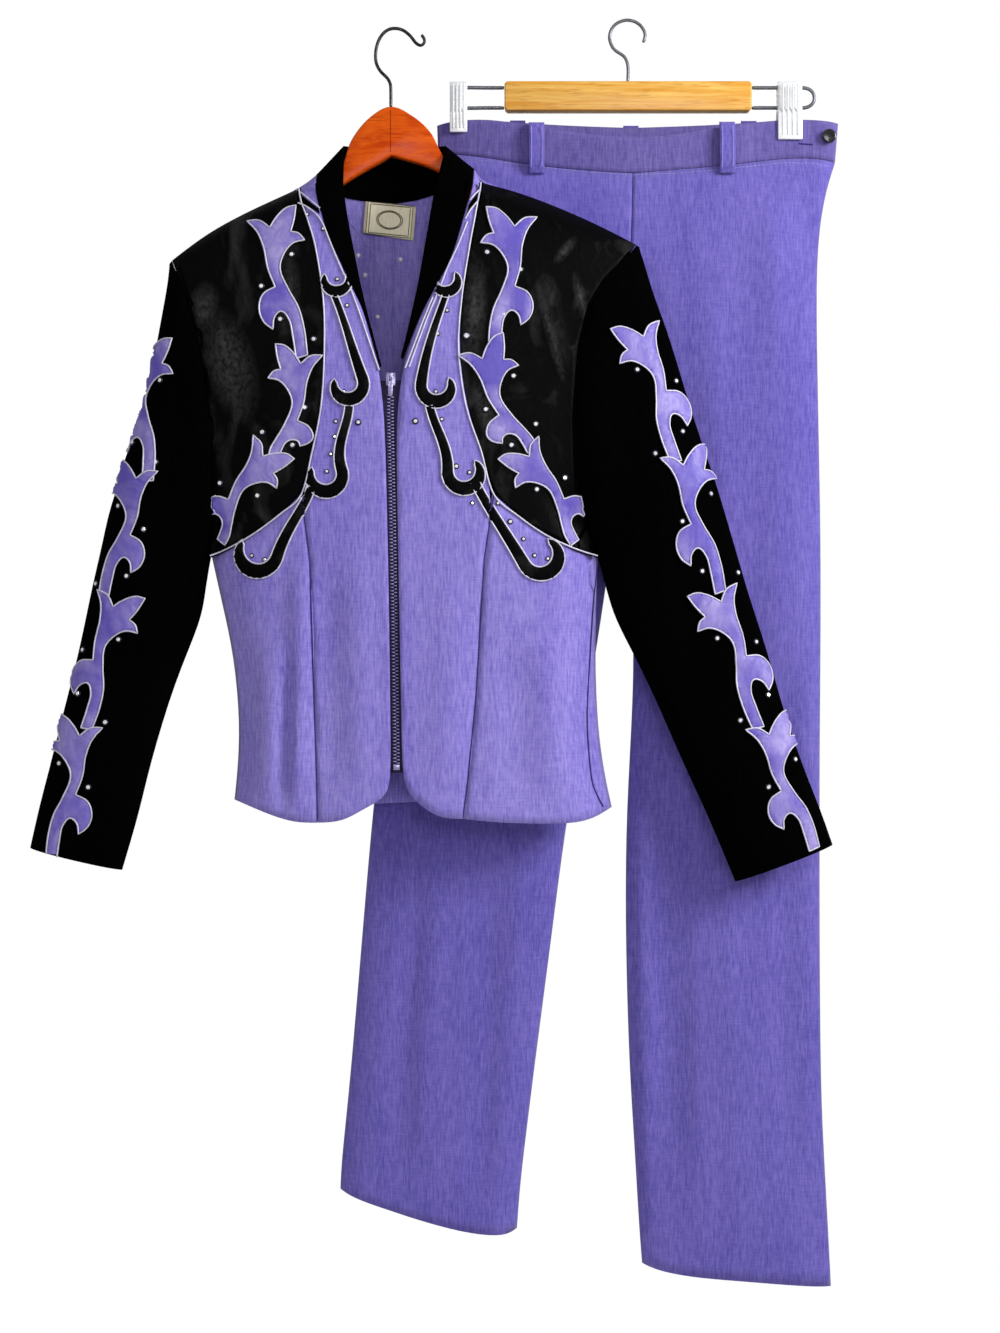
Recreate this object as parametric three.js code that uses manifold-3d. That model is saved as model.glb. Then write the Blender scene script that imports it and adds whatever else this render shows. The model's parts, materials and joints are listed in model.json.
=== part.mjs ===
// Western suit on its two hangers: a zip-front jacket with black leather yokes, leather vines and
// scrolls, and a pair of straight trousers that hangs behind it.
// Millimetres, +Z up, the fronts face -Y. The origin is the inside top of the jacket hanger's hook.
// "right" and "left" are the wearer's, so the wearer's right is at -X.
import * as THREE from 'three';
import { mergeVertices } from 'three/addons/utils/BufferGeometryUtils.js';
import Module from 'manifold-3d';

const wasm = await Module();
wasm.setup();

// ---------------------------------------------------------------- driving dimensions
const CLOTH = 1.8; // suiting with its interlining
const BAND = 2.4; // doubled cloth of collar and waistband
const LEATHER = 1.2; // applied leather and the sewn-in label
const SEAM = 0.5; // gap between two panels along a seam
const HALF_SEAM = 0.2; // front and back panels stay this far off the mid plane
const LIFT = 0.9; // gap under a piece that lies on a panel
const CAP_HEIGHT = 70; // the shoulder rounds over within this height
const GIRTH_RADIUS = 200; // turns an angle round the torso into a length of cloth
const TROUSER_Y = 44.5; // mid plane of the trousers and their hanger
const WAIST_DEPTH = 13; // half depth of the waist at the centre seam
const WOOD_THICK = 10; // jacket hanger, front to back
const HOOK_WIRE = 1.7; // wire radius of both hooks
const ROD = 1.9; // radius of the trouser hanger's sliding rods
const LABEL_THICK = 0.8;
const CLIPS = [
  { name: 'right', x: 60.5, width: 17, foot: -87 },
  { name: 'left', x: 382, width: 24, foot: -94 },
];

const COLOURS = {
  suiting: { color: 0x8577d0, roughness: 0.85, metalness: 0 },
  leatherBlack: { color: 0x17171a, roughness: 0.4, metalness: 0 },
  clothBlack: { color: 0x0b0b0d, roughness: 0.95, metalness: 0 },
  leatherPurple: { color: 0x7a6bc8, roughness: 0.35, metalness: 0 },
  label: { color: 0xcfc4a8, roughness: 0.8, metalness: 0 },
  zipTape: { color: 0x3a2f66, roughness: 0.8, metalness: 0 },
  zipMetal: { color: 0xb9b3d6, roughness: 0.35, metalness: 0.8 },
  button: { color: 0x101010, roughness: 0.3, metalness: 0 },
  cherry: { color: 0xc4510f, roughness: 0.35, metalness: 0 },
  honey: { color: 0xdda24a, roughness: 0.4, metalness: 0 },
  darkWire: { color: 0x3b3b3d, roughness: 0.4, metalness: 0.8 },
  chrome: { color: 0xd8d8dc, roughness: 0.15, metalness: 1 },
  clip: { color: 0xf2f2f4, roughness: 0.3, metalness: 0 },
};

// ---------------------------------------------------------------- tables
const asRow = (names, values) => Object.fromEntries(names.map((name, k) => [name, values[k]]));
const rows = (names, data) => data.map((values) => asRow(names, values));

// Virtual edges and half depths of the torso section at each height.
const TORSO = rows(['z', 'right', 'left', 'front', 'back'], [
  [-100, -214, 232, 32, 26],
  [-219, -214, 234, 34, 27],
  [-300, -205, 222, 37, 28],
  [-400, -190, 207, 38, 28],
  [-500, -173, 193, 35, 27],
  [-546, -163, 192, 32, 26],
  [-594, -152, 191, 30, 25],
  [-660, -146, 193, 30, 25],
  [-708, -149, 200, 32, 26],
  [-760, -155, 212, 34, 27],
]);

// The shoulder line seen from the front; between the neck sides it runs on, above the neck opening.
const SHOULDER = rows(['x', 'z'], [
  [-240, -240], [-211, -219], [-179, -194], [-146, -176], [-116, -162], [-89, -150], [-74, -138],
  [0, -112], [77, -133], [83, -145], [115, -153], [153, -167], [196, -186], [230, -204], [260, -222],
]);

// Soft folds on the jacket front: a ridge, or a trough where its height is negative.
const JACKET_FOLDS = rows(['xTop', 'zTop', 'xBottom', 'zBottom', 'width', 'height'], [
  [-92, -590, -103, -750, 16, 3.2],
  [-80, -520, -76, -750, 12, -2.4],
  [84, -560, 70, -750, 14, -1.8],
  [130, -600, 150, -750, 26, 2.0],
  [-30, -430, -34, -700, 26, 1.6],
]);

// Seams of each front, as [x, z], in order from shoulder to hem or from inside to outside.
const FRONTS = {
  right: {
    yokeInner: [[-89, -150], [-87, -157], [-85, -167], [-79, -186], [-71, -214],
      [-64, -261], [-63, -309], [-66, -361], [-75, -407], [-85, -444]],
    armhole: [[-211, -219], [-209, -224], [-205, -233], [-199, -248], [-189, -274],
      [-180, -314], [-173, -361], [-169, -408], [-170, -456], [-173, -500]],
    yokeLower: [[-85, -444], [-104, -462], [-129, -480], [-150, -491], [-173, -500]],
    shoulder: [[-89, -150], [-116, -162], [-146, -176], [-179, -194], [-211, -219]],
    princess: [[-85, -444], [-77, -504], [-75, -580], [-73, -656], [-71, -712], [-70, -751]],
    sideHeights: [-500, -546, -594, -660, -708, -731],
    sideHem: [[-70, -751], [-91, -751], [-112, -745], [-133, -737], [-152, -731]],
    collarSeam: [[-74, -138], [-74, -145], [-72, -157], [-69, -175], [-61, -202],
      [-48, -228], [-40, -247], [-28, -268], [-21, -294], [-12, -325]],
    collarEdge: [[-48, -110], [-47, -128], [-47, -149], [-45, -166], [-40, -195],
      [-35, -220], [-30, -245], [-24, -271], [-17, -297], [-9.5, -325]],
    zipEdge: [[-6.6, -370], [-4.8, -446], [-2.9, -542], [-1.4, -665], [-1, -713]],
    centreHem: [[-70, -751], [-47, -750], [-29, -739], [-7, -728], [-1, -713]],
    sleeveOuter: [[-213.5, -222], [-214, -229], [-215, -239], [-218, -256], [-222, -276], [-228, -307],
      [-237, -351], [-253, -394], [-268, -440], [-277, -487], [-288, -532], [-299, -589], [-314, -646],
      [-328, -703], [-337, -736], [-346, -777]],
    sleeveInner: [[-179, -532], [-182, -560], [-208, -618], [-233, -703], [-241, -741], [-258, -798]],
  },
  left: {
    yokeInner: [[83, -145], [82, -157], [80, -167], [77, -186], [72, -214],
      [65, -261], [62, -309], [69, -361], [83, -404], [95, -444]],
    armhole: [[230, -204], [227, -208], [222, -216], [214, -226], [198, -242],
      [184, -266], [175, -304], [170, -370], [172, -437], [193, -500]],
    yokeLower: [[95, -444], [118, -464], [143, -481], [169, -493], [193, -500]],
    shoulder: [[83, -145], [115, -153], [153, -167], [196, -186], [230, -204]],
    princess: [[95, -444], [86, -504], [82, -570], [78, -636], [71, -708], [66, -747]],
    sideHeights: [-500, -546, -594, -660, -708, -738],
    sideHem: [[66, -747], [96, -751], [139, -752], [177, -752], [206, -738]],
    collarSeam: [[77, -133], [77, -143], [75, -155], [71, -169], [64, -195],
      [56, -223], [44, -245], [32, -266], [23, -287], [11, -319]],
    collarEdge: [[49, -110], [46, -128], [41, -149], [38, -163], [34, -190],
      [29, -218], [25, -243], [20, -266], [15, -289], [8, -317]],
    zipEdge: [[3.3, -370], [4.8, -446], [6.2, -542], [8.4, -665], [9.2, -713]],
    centreHem: [[66, -747], [49, -747], [37, -742], [19, -729], [9.2, -713]],
    sleeveOuter: [[233, -206], [235, -213], [239, -224], [244, -242], [253, -266], [264, -294],
      [280, -347], [294, -390], [314, -456], [328, -504], [337, -536], [355, -589], [370, -646],
      [390, -703], [405, -739], [417, -774]],
    sleeveInner: [[204, -542], [212, -565], [241, -618], [277, -703], [295, -739], [324, -809]],
  },
};
// Half depth that the sleeve gains below the armhole, for each row from shoulder to cuff.
const SLEEVE_BULGE = [0, 0.5, 1, 2, 4, 7, 11, 15, 18, 19, 20, 20, 20, 19, 18, 16];

const BACK_NECK = [[-74, -138], [-60, -147], [-44, -152], [-22, -155], [-2, -156], [20, -153], [42, -147],
  [62, -139], [77, -133]];
const BACK_COLLAR_TOP = [[-48, -110], [-40, -108], [-28, -106], [-14, -105], [-2, -104], [14, -105],
  [28, -106], [40, -108], [49, -110]];
const BACK_HEM = { right: [[-153, -731], [-125, -735], [-90, -738], [-50, -738], [-2, -736]],
  left: [[207, -738], [160, -736], [110, -734], [60, -733], [-2, -736]] };

// Trouser legs, from the waistband seam to the hem: outer and inner edge, the inner half depth at the
// centre seam, and the half depth that the leg gains on its own.
const LEG_COLUMNS = ['outerX', 'outerZ', 'innerX', 'innerZ', 'inner', 'bulge'];
const LEGS = {
  right: rows(LEG_COLUMNS, [
    [40, -107, 229, -128, 13, 0],
    [34, -163, 227, -207, 15, 1],
    [27, -226, 224, -285, 15, 3],
    [17, -324, 222, -363, 10, 8],
    [7, -427, 220, -427, 1, 14],
    [0, -491, 211, -481, 0, 16],
    [-6, -559, 197, -579, 0, 16],
    [-15, -667, 180, -677, 0, 15],
    [-25, -760, 165, -760, 0, 15],
    [-35, -882, 151, -872, 0, 14],
    [-45, -1000, 136, -985, 0, 13],
    [-50, -1049, 127, -1058, 0, 13],
    [-54, -1088, 121, -1107, 0, 13],
    [-55, -1112, 118, -1150, 0, 13],
  ]),
  left: rows(LEG_COLUMNS, [
    [427, -117, 229, -128, 13, 0],
    [416, -148, 227, -207, 15, 1],
    [408, -207, 224, -285, 15, 3],
    [410, -324, 222, -363, 10, 8],
    [412, -427, 220, -427, 1, 14],
    [413, -481, 226, -481, 0, 16],
    [413, -589, 231, -589, 0, 16],
    [412, -677, 227, -677, 0, 15],
    [412, -765, 222, -765, 0, 15],
    [412, -882, 222, -882, 0, 14],
    [413, -1000, 226, -1000, 0, 13],
    [415, -1058, 230, -1058, 0, 13],
    [420, -1147, 235, -1147, 0, 13],
    [423, -1206, 238, -1184, 0, 13],
  ]),
};
const WAIST_SEAM = rows(['x', 'z'], [[40, -107], [66, -106], [104, -116], [152, -123], [206, -127],
  [229, -128], [325, -120], [391, -108], [427, -115]]);
const WAIST_TOP = {
  front: rows(['x', 'z'], [[39, -79], [69, -70], [105, -77], [152, -85], [203, -93], [257, -94],
    [306, -84], [370, -74], [391, -72], [430, -77]]),
  back: rows(['x', 'z'], [[39, -79], [69, -70], [152, -76], [229, -78], [306, -76], [391, -72], [430, -77]]),
};
const HEMS = {
  right: rows(['x', 'z'], [[-55, -1112], [-46, -1118], [45, -1147], [101, -1160], [118, -1150]]),
  left: rows(['x', 'z'], [[238, -1184], [262, -1194], [316, -1197], [423, -1207]]),
};
const LOOPS = rows(['name', 'x', 'face'], [
  ['front_right', 136, -1], ['front_left', 320, -1], ['back_right', 118, 1], ['back_centre', 229, 1],
  ['back_left', 344, 1]]);

// Leather vines: a wavy spine and its width to each side, wide at a blossom and narrow on the stem.
const VINE_COLUMNS = ['x', 'z', 'toRight', 'toLeft'];
const CHEST_VINES = {
  right: rows(VINE_COLUMNS, [
    [-108, -183, 15, 17], [-110, -199, 12, 15], [-110, -222, 8, 8], [-106, -246, 6, 6],
    [-101, -268, 17, 7], [-95, -287, 14, 8], [-93, -305, 12, 8], [-91, -324, 16, 14],
    [-92, -346, 7, 7], [-95, -366, 7, 10], [-103, -386, 6, 15], [-112, -404, 8, 14],
    [-120, -418, 10, 20], [-136, -433, 7, 9], [-149, -450, 6, 6], [-158, -463, 9, 5],
  ]),
  left: rows(VINE_COLUMNS, [
    [104, -183, 17, 15], [105, -199, 15, 12], [101, -222, 8, 8], [100, -246, 6, 6],
    [100, -268, 7, 17], [98, -287, 8, 14], [96, -305, 8, 12], [94, -324, 14, 16],
    [100, -346, 7, 7], [106, -366, 10, 7], [115, -386, 15, 6], [126, -404, 14, 8],
    [138, -418, 18, 10], [152, -433, 9, 7], [165, -450, 6, 6], [176, -466, 5, 8],
  ]),
};
const SLEEVE_VINES = {
  right: rows(VINE_COLUMNS, [
    [-216, -304, 4, 6], [-222, -334, 5, 6], [-233, -368, 6, 7], [-243, -395, 7, 9],
    [-250, -421, 10, 16], [-252, -452, 7, 7], [-250, -480, 6, 12], [-251, -508, 7, 7],
    [-262, -545, 12, 18], [-272, -577, 7, 7], [-284, -603, 12, 6], [-292, -640, 7, 7],
    [-298, -670, 14, 18], [-302, -705, 7, 7], [-308, -732, 7, 12], [-322, -767, 6, 6],
  ]),
  left: rows(VINE_COLUMNS, [
    [232, -288, 12, 14], [243, -318, 8, 8], [256, -350, 6, 14], [268, -382, 7, 7],
    [280, -413, 16, 18], [284, -448, 7, 7], [283, -480, 13, 7], [290, -522, 7, 7],
    [303, -548, 16, 18], [320, -585, 7, 7], [340, -612, 7, 14], [350, -645, 7, 7],
    [358, -670, 16, 20], [362, -712, 8, 7], [370, -742, 13, 7], [398, -772, 6, 6],
  ]),
};

// Leather scrolls: a straight or bowed stem, then a hooked end. Angles in degrees, from +X, turning
// the way that "turn" gives; the stem's start is joined to where the hook begins.
const SCROLL_WIDTH = { start: 2.2, middle: 4.2, end: 1.6 };
const SCROLL_COLUMNS = ['name', 'startX', 'startZ', 'hookX', 'hookZ', 'radius', 'from', 'sweep', 'bow'];
const SCROLLS = {
  right: rows(SCROLL_COLUMNS, [
    ['hook', -38, -243, -51, -244, 12.8, 5, -235, 0],
    ['upper', -52, -263, -40.5, -344, 15, 0, -225, 4],
    ['middle', -42, -369, -66.5, -426, 15, 5, -240, 0],
    ['lower', -78, -449, -125.4, -501, 17, 0, -245, 5],
  ]),
  left: rows(SCROLL_COLUMNS, [
    ['hook', 38, -246, 50.5, -247, 12.8, 175, 235, 0],
    ['upper', 52, -266, 41, -345, 15, 180, 225, -4],
    ['middle', 43, -370, 70, -426, 15, 175, 240, 0],
    ['lower', 83, -449, 138, -499, 17, 180, 245, -5],
  ]),
};

// Wire routes, as [x, z], from the wood upwards.
const JACKET_HOOK = [[-3, -73.2], [-3, -60], [-3.5, -51], [-6, -46], [-13, -39], [-17, -31], [-17.5, -22],
  [-15.8, -13], [-12, -5.2], [-6.5, 0], [0, 1.7], [8, 0.2], [15.5, -5.5], [21, -12.5], [26, -15],
  [29.5, -10], [26, -4.5]];
const TROUSER_HOOK = [[225, -36.7], [225, -20], [222, -12], [211, -4], [207, 8], [212, 19], [224, 24],
  [236, 20], [242, 10], [240, 2]];

// Outline of the jacket hanger, as [x, z], clockwise from the crown.
const WOOD_OUTLINE = [[-3, -73.6], [17, -82], [34, -97], [46, -119], [57, -132], [72, -147], [84, -152.5],
  [115, -160.5], [153, -175], [190, -192], [202, -201], [200, -209], [186, -210], [150, -197], [112, -182],
  [78, -166], [44, -136], [-3, -107], [-48, -147], [-82, -174], [-115, -191], [-146, -206], [-172, -221],
  [-184, -224], [-187, -216], [-176, -201.5], [-146, -184], [-116, -170], [-90, -159], [-72, -149],
  [-58, -138], [-49.5, -129], [-40, -105], [-23, -84]];

// ---------------------------------------------------------------- small maths
const vec = (x, y, z) => new THREE.Vector3(x, y, z);
const mix = (a, b, t) => a + (b - a) * t;
const clamp = (value, low, high) => Math.min(high, Math.max(low, value));
const gauss = (distance, width) => Math.exp(-((distance / width) ** 2));

// Value of a column at a place, straight between the rows.
function along(table, by, column, at) {
  const sorted = [...table].sort((a, b) => a[by] - b[by]);
  const k = clamp(sorted.findIndex((row) => row[by] >= at), 1, sorted.length - 1);
  const before = sorted[k - 1];
  const after = sorted[at > sorted.at(-1)[by] ? sorted.length - 1 : k];
  const span = after[by] - before[by] || 1;
  return mix(before[column], after[column], clamp((at - before[by]) / span, 0, 1));
}

// The same, rounded at the rows, for heights of the torso.
function smoothAlong(table, by, column, at) {
  const reach = 18;
  const steps = [-1, -0.5, 0, 0.5, 1];
  const sum = steps.reduce((total, step) => total + along(table, by, column, at + step * reach), 0);
  return sum / steps.length;
}

function foldHeight(folds, x, z) {
  return folds.reduce((total, fold) => {
    const t = clamp((z - fold.zTop) / (fold.zBottom - fold.zTop), 0, 1);
    const centre = mix(fold.xTop, fold.xBottom, t);
    return total + fold.height * gauss(x - centre, fold.width) * Math.sin((Math.PI * t) / 2);
  }, 0);
}

// ---------------------------------------------------------------- the torso's form
const torsoEdge = (side, z) => along(TORSO, 'z', side, z);

function torsoAngle(x, z) {
  const right = torsoEdge('right', z);
  const left = torsoEdge('left', z);
  return Math.asin(clamp((x - (right + left) / 2) / ((left - right) / 2), -1, 1));
}

// Depth of the front (face -1) or back (face 1) away from the mid plane.
function torsoDepth(face, angle, x, z) {
  const drop = (along(SHOULDER, 'x', 'z', x) - z) / CAP_HEIGHT;
  const cap = Math.sqrt(1 - (1 - clamp(drop, 0, 1)) ** 2);
  const section = Math.max(Math.cos(angle), 0) ** 0.75;
  const depth = smoothAlong(TORSO, 'z', face < 0 ? 'front' : 'back', z);
  const fold = face < 0 ? foldHeight(JACKET_FOLDS, x, z) : 0;
  return depth * section * cap + fold * section;
}

function torsoPoint(face, angle, z) {
  const right = torsoEdge('right', z);
  const left = torsoEdge('left', z);
  const x = (right + left) / 2 + ((left - right) / 2) * Math.sin(angle);
  return vec(x, face * (HALF_SEAM + torsoDepth(face, angle, x, z)), z);
}

const torsoAt = (face) => (x, z) => torsoPoint(face, torsoAngle(x, z), z);

// ---------------------------------------------------------------- walls
// Unit normals of a grid of points, pointing to the side that the face gives along Y.
function gridNormals(grid, face) {
  const lastRow = grid.length - 1;
  const lastColumn = grid[0].length - 1;
  return grid.map((row, i) => row.map((point, j) => {
    const across = row[Math.min(j + 1, lastColumn)].clone().sub(row[Math.max(j - 1, 0)]);
    const down = grid[Math.min(i + 1, lastRow)][j].clone().sub(grid[Math.max(i - 1, 0)][j]);
    const normal = across.cross(down).normalize();
    return normal.y * face < 0 ? normal.negate() : normal;
  }));
}

// A closed solid between two grids of points with the same rows and columns.
function solidBetween(outer, inner) {
  const rowCount = outer.length;
  const columnCount = outer[0].length;
  const points = [...outer.flat(), ...inner.flat()];
  const layer = rowCount * columnCount;
  const faces = [];
  const quad = (a, b, c, d) => faces.push(a, b, c, a, c, d);
  for (let i = 0; i < rowCount - 1; i += 1) {
    for (let j = 0; j < columnCount - 1; j += 1) {
      const a = i * columnCount + j;
      quad(a, a + 1, a + columnCount + 1, a + columnCount);
      quad(layer + a, layer + a + columnCount, layer + a + columnCount + 1, layer + a + 1);
    }
  }
  const rim = [];
  for (let j = 0; j < columnCount; j += 1) rim.push(j);
  for (let i = 1; i < rowCount; i += 1) rim.push(i * columnCount + columnCount - 1);
  for (let j = columnCount - 2; j >= 0; j -= 1) rim.push((rowCount - 1) * columnCount + j);
  for (let i = rowCount - 2; i > 0; i -= 1) rim.push(i * columnCount);
  rim.forEach((a, k) => {
    const b = rim[(k + 1) % rim.length];
    quad(b, a, layer + a, layer + b);
  });
  const geometry = new THREE.BufferGeometry();
  geometry.setAttribute('position', new THREE.Float32BufferAttribute(points.flatMap((p) => p.toArray()), 3));
  geometry.setIndex(faces);
  return facingOut(geometry);
}

// Turns every face over if the solid's signed volume is negative.
function facingOut(geometry) {
  const place = geometry.getAttribute('position');
  const index = geometry.index.array;
  const corner = (k) => vec(place.getX(index[k]), place.getY(index[k]), place.getZ(index[k]));
  let volume = 0;
  for (let k = 0; k < index.length; k += 3) {
    volume += corner(k).dot(corner(k + 1).cross(corner(k + 2)));
  }
  if (volume < 0) {
    const turned = Array.from(index);
    for (let k = 0; k < turned.length; k += 3) {
      [turned[k + 1], turned[k + 2]] = [turned[k + 2], turned[k + 1]];
    }
    geometry.setIndex(turned);
  }
  return geometry;
}

// A wall of cloth under an outer grid, kept on its own side of the mid plane.
function wall(outer, thickness, face, middle = 0) {
  const normals = gridNormals(outer, face);
  const inner = outer.map((row, i) => row.map((point, j) => {
    const below = point.clone().addScaledVector(normals[i][j], -thickness);
    const away = Math.max((below.y - middle) * face, HALF_SEAM);
    return vec(below.x, middle + face * away, below.z);
  }));
  return solidBetween(outer, inner);
}

// ---------------------------------------------------------------- panels of the torso
// Offsets of a boundary towards the panel's inside, to leave half a seam.
function insets(line, inside, distance) {
  return line.map((point, k) => {
    const before = line[Math.max(k - 1, 0)];
    const after = line[Math.min(k + 1, line.length - 1)];
    const normal = new THREE.Vector2(after[1] - before[1], before[0] - after[0]).normalize();
    const toInside = (inside[0] - point[0]) * normal.x + (inside[1] - point[1]) * normal.y;
    return normal.multiplyScalar(toInside < 0 ? -distance : distance);
  });
}

const moved = (line, offsets) => line.map((point, k) => [point[0] + offsets[k].x, point[1] + offsets[k].y]);

function fractions(first, second) {
  const lengths = (line) => {
    const sums = [0];
    for (let k = 1; k < line.length; k += 1) {
      sums.push(sums[k - 1] + Math.hypot(line[k][0] - line[k - 1][0], line[k][1] - line[k - 1][1]));
    }
    return sums.map((sum) => sum / sums.at(-1));
  };
  const one = lengths(first);
  const other = lengths(second);
  return one.map((value, k) => (value + other[k]) / 2);
}

// Fills four boundary lines, given in the front view, and lifts the net onto the torso.
function torsoPanel(face, edges, seams) {
  const middleOf = (line) => line[Math.floor(line.length / 2)];
  const inside = [0, 1].map((axis) => (middleOf(edges.start)[axis] + middleOf(edges.end)[axis]) / 2);
  const shift = {};
  for (const name of ['top', 'bottom', 'start', 'end']) {
    shift[name] = insets(edges[name], inside, seams.includes(name) ? SEAM / 2 : 0);
  }
  const corner = (line, k, other, m) => shift[line].at(k).add(shift[other].at(m)).clone();
  const corners = [['top', 0, 'start', 0], ['top', -1, 'end', 0],
    ['bottom', 0, 'start', -1], ['bottom', -1, 'end', -1]];
  for (const [line, k, other, m] of corners) {
    const sum = corner(line, k, other, m);
    shift[line].at(k).copy(sum);
    shift[other].at(m).copy(sum);
  }
  const net = {};
  for (const name of ['top', 'bottom', 'start', 'end']) {
    net[name] = moved(edges[name], shift[name]).map(([x, z]) => [torsoAngle(x, z) * GIRTH_RADIUS, z]);
  }
  const down = fractions(net.start, net.end);
  const across = fractions(net.top, net.bottom);
  const grid = down.map((t, i) => across.map((s, j) => {
    const place = [0, 1].map((axis) => {
      const ruled = mix(net.top[j][axis], net.bottom[j][axis], t)
        + mix(net.start[i][axis], net.end[i][axis], s);
      const topLine = mix(net.top[0][axis], net.top.at(-1)[axis], s);
      const bottomLine = mix(net.bottom[0][axis], net.bottom.at(-1)[axis], s);
      return ruled - mix(topLine, bottomLine, t);
    });
    return torsoPoint(face, place[0] / GIRTH_RADIUS, place[1]);
  }));
  return wall(grid, CLOTH, face);
}

const sideSeam = (side, heights) => heights.map((z) => [torsoEdge(side, z), z]);

// A line with a given number of points at even steps of its length.
function evenLine(line, count) {
  const at = fractions(line, line);
  return Array.from({ length: count }, (_, k) => {
    const wanted = k / (count - 1);
    const m = clamp(at.findIndex((value) => value >= wanted), 1, line.length - 1);
    const t = (wanted - at[m - 1]) / (at[m] - at[m - 1]);
    return [mix(line[m - 1][0], line[m][0], t), mix(line[m - 1][1], line[m][1], t)];
  });
}

const frontYoke = (front) => torsoPanel(-1,
  { top: front.shoulder, bottom: front.yokeLower, start: front.yokeInner, end: front.armhole },
  ['bottom', 'start', 'end']);

const centreFront = (front) => torsoPanel(-1,
  { top: evenLine([front.yokeInner[0], front.collarSeam[0]], 5),
    bottom: front.centreHem,
    start: [...front.yokeInner, ...front.princess.slice(1)],
    end: [...front.collarSeam, ...front.zipEdge] },
  ['start', 'end']);

const sideFront = (front, side) => torsoPanel(-1,
  { top: front.yokeLower,
    bottom: front.sideHem,
    start: front.princess,
    end: sideSeam(side, front.sideHeights) },
  ['top', 'start']);

function backPanel(front, side) {
  const neck = side === 'right' ? BACK_NECK.slice(0, 5) : BACK_NECK.slice(4).reverse();
  const centre = BACK_NECK[4];
  const top = [...front.shoulder.slice().reverse(), ...neck];
  const outer = [...front.armhole, ...sideSeam(side, front.sideHeights).slice(1)];
  const hem = evenLine(BACK_HEM[side], top.length);
  const centreLine = outer.map(([, z]) => {
    const t = (z - outer[0][1]) / (outer.at(-1)[1] - outer[0][1]);
    return [centre[0], mix(centre[1], hem.at(-1)[1], t)];
  });
  return torsoPanel(1, { top, bottom: hem, start: outer, end: centreLine }, ['start', 'end']);
}

// ---------------------------------------------------------------- collar and label
function frontCollar(front) {
  const seamLift = 1.1;
  const neckGap = 1.8;
  const last = front.collarSeam.length - 1;
  const grid = front.collarSeam.map((seam, i) => {
    const edge = front.collarEdge[i];
    const start = torsoAt(-1)(seam[0], seam[1]);
    const reach = Math.hypot(edge[0] - seam[0], edge[1] - seam[1]) || 1;
    const gap = mix(neckGap, SEAM, Math.min(i / 4, 1)) / reach;
    const edgeDepth = -start.y * mix(0.8, 1, i / last);
    return [gap, 0.5, 1].map((t) => vec(mix(seam[0], edge[0], t),
      -mix(-start.y, Math.max(edgeDepth, HALF_SEAM), t) - (i > 0 ? seamLift * Math.sin(Math.PI * t) : 0),
      mix(seam[1], edge[1], t)));
  });
  return wall(grid, BAND, -1);
}

function backCollar() {
  const grid = [0, 0.5, 1].map((t) => BACK_NECK.map((seam, k) => {
    const top = BACK_COLLAR_TOP[k];
    const start = torsoAt(1)(seam[0], seam[1]);
    const isEnd = k === 0 || k === BACK_NECK.length - 1;
    const depth = isEnd ? HALF_SEAM : start.y * mix(1, 0.82, t);
    const raised = t === 0 ? SEAM : 0;
    return vec(mix(seam[0], top[0], t), depth, mix(seam[1], top[1], t) + raised);
  }));
  return wall(grid, BAND, 1);
}

function neckLabel() {
  const place = { left: -30, right: 19, top: -158, bottom: -190, tilt: 3, loose: 1.5 };
  const grid = [0, 0.5, 1].map((t) => [0, 0.33, 0.67, 1].map((s) => {
    const x = mix(place.left, place.right, s);
    const z = mix(place.top, place.bottom, t) - place.tilt * s;
    const under = torsoAt(1)(x, z).y - CLOTH - LIFT;
    return vec(x, under - place.loose * t * (1 - s), z);
  }));
  const behind = grid.map((row) => row.map((p) => vec(p.x, p.y - LABEL_THICK, p.z)));
  return solidBetween(grid, behind);
}

// ---------------------------------------------------------------- sleeves and legs
const steps = (count) => Array.from({ length: count + 1 }, (_, k) => k / count);

// One half of a flat tube: rows run between an outer and an inner edge. "inner" is the half depth at
// the inner edge, "bulge" what the row gains between its edges.
function halfTube(table, face, middle, depthAt, columns = 6) {
  return table.map((row) => steps(columns).map((s) => {
    const across = (1 - Math.cos(Math.PI * s)) / 2;
    const x = mix(row.outerX, row.innerX, across);
    const z = row.zAt ? row.zAt(x) : mix(row.outerZ, row.innerZ, across);
    return vec(x, middle + face * (HALF_SEAM + depthAt(row, s, x, z)), z);
  }));
}

const sleeveDepth = (row, s) => row.bulge * Math.sin(Math.PI * s) + row.inner * Math.sin((Math.PI * s) / 2);

function sleeveTable(front, face) {
  const toArm = Math.sign(front.armhole[0][0]);
  const armSeam = front.armhole.map(([x, z]) => [x + toArm * SEAM * 0.7, z - SEAM * 0.3]);
  const inner = [...armSeam, ...front.sleeveInner];
  return front.sleeveOuter.map(([outerX, outerZ], i) => {
    const [innerX, innerZ] = inner[i];
    const onArmhole = i < front.armhole.length;
    const depth = onArmhole ? Math.abs(torsoAt(face)(...front.armhole[i]).y) - HALF_SEAM : 0;
    return { outerX, outerZ, innerX, innerZ, inner: depth, bulge: SLEEVE_BULGE[i] };
  });
}

function sleeveHalf(front, face) {
  return wall(halfTube(sleeveTable(front, face), face, 0, sleeveDepth), CLOTH, face);
}

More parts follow.
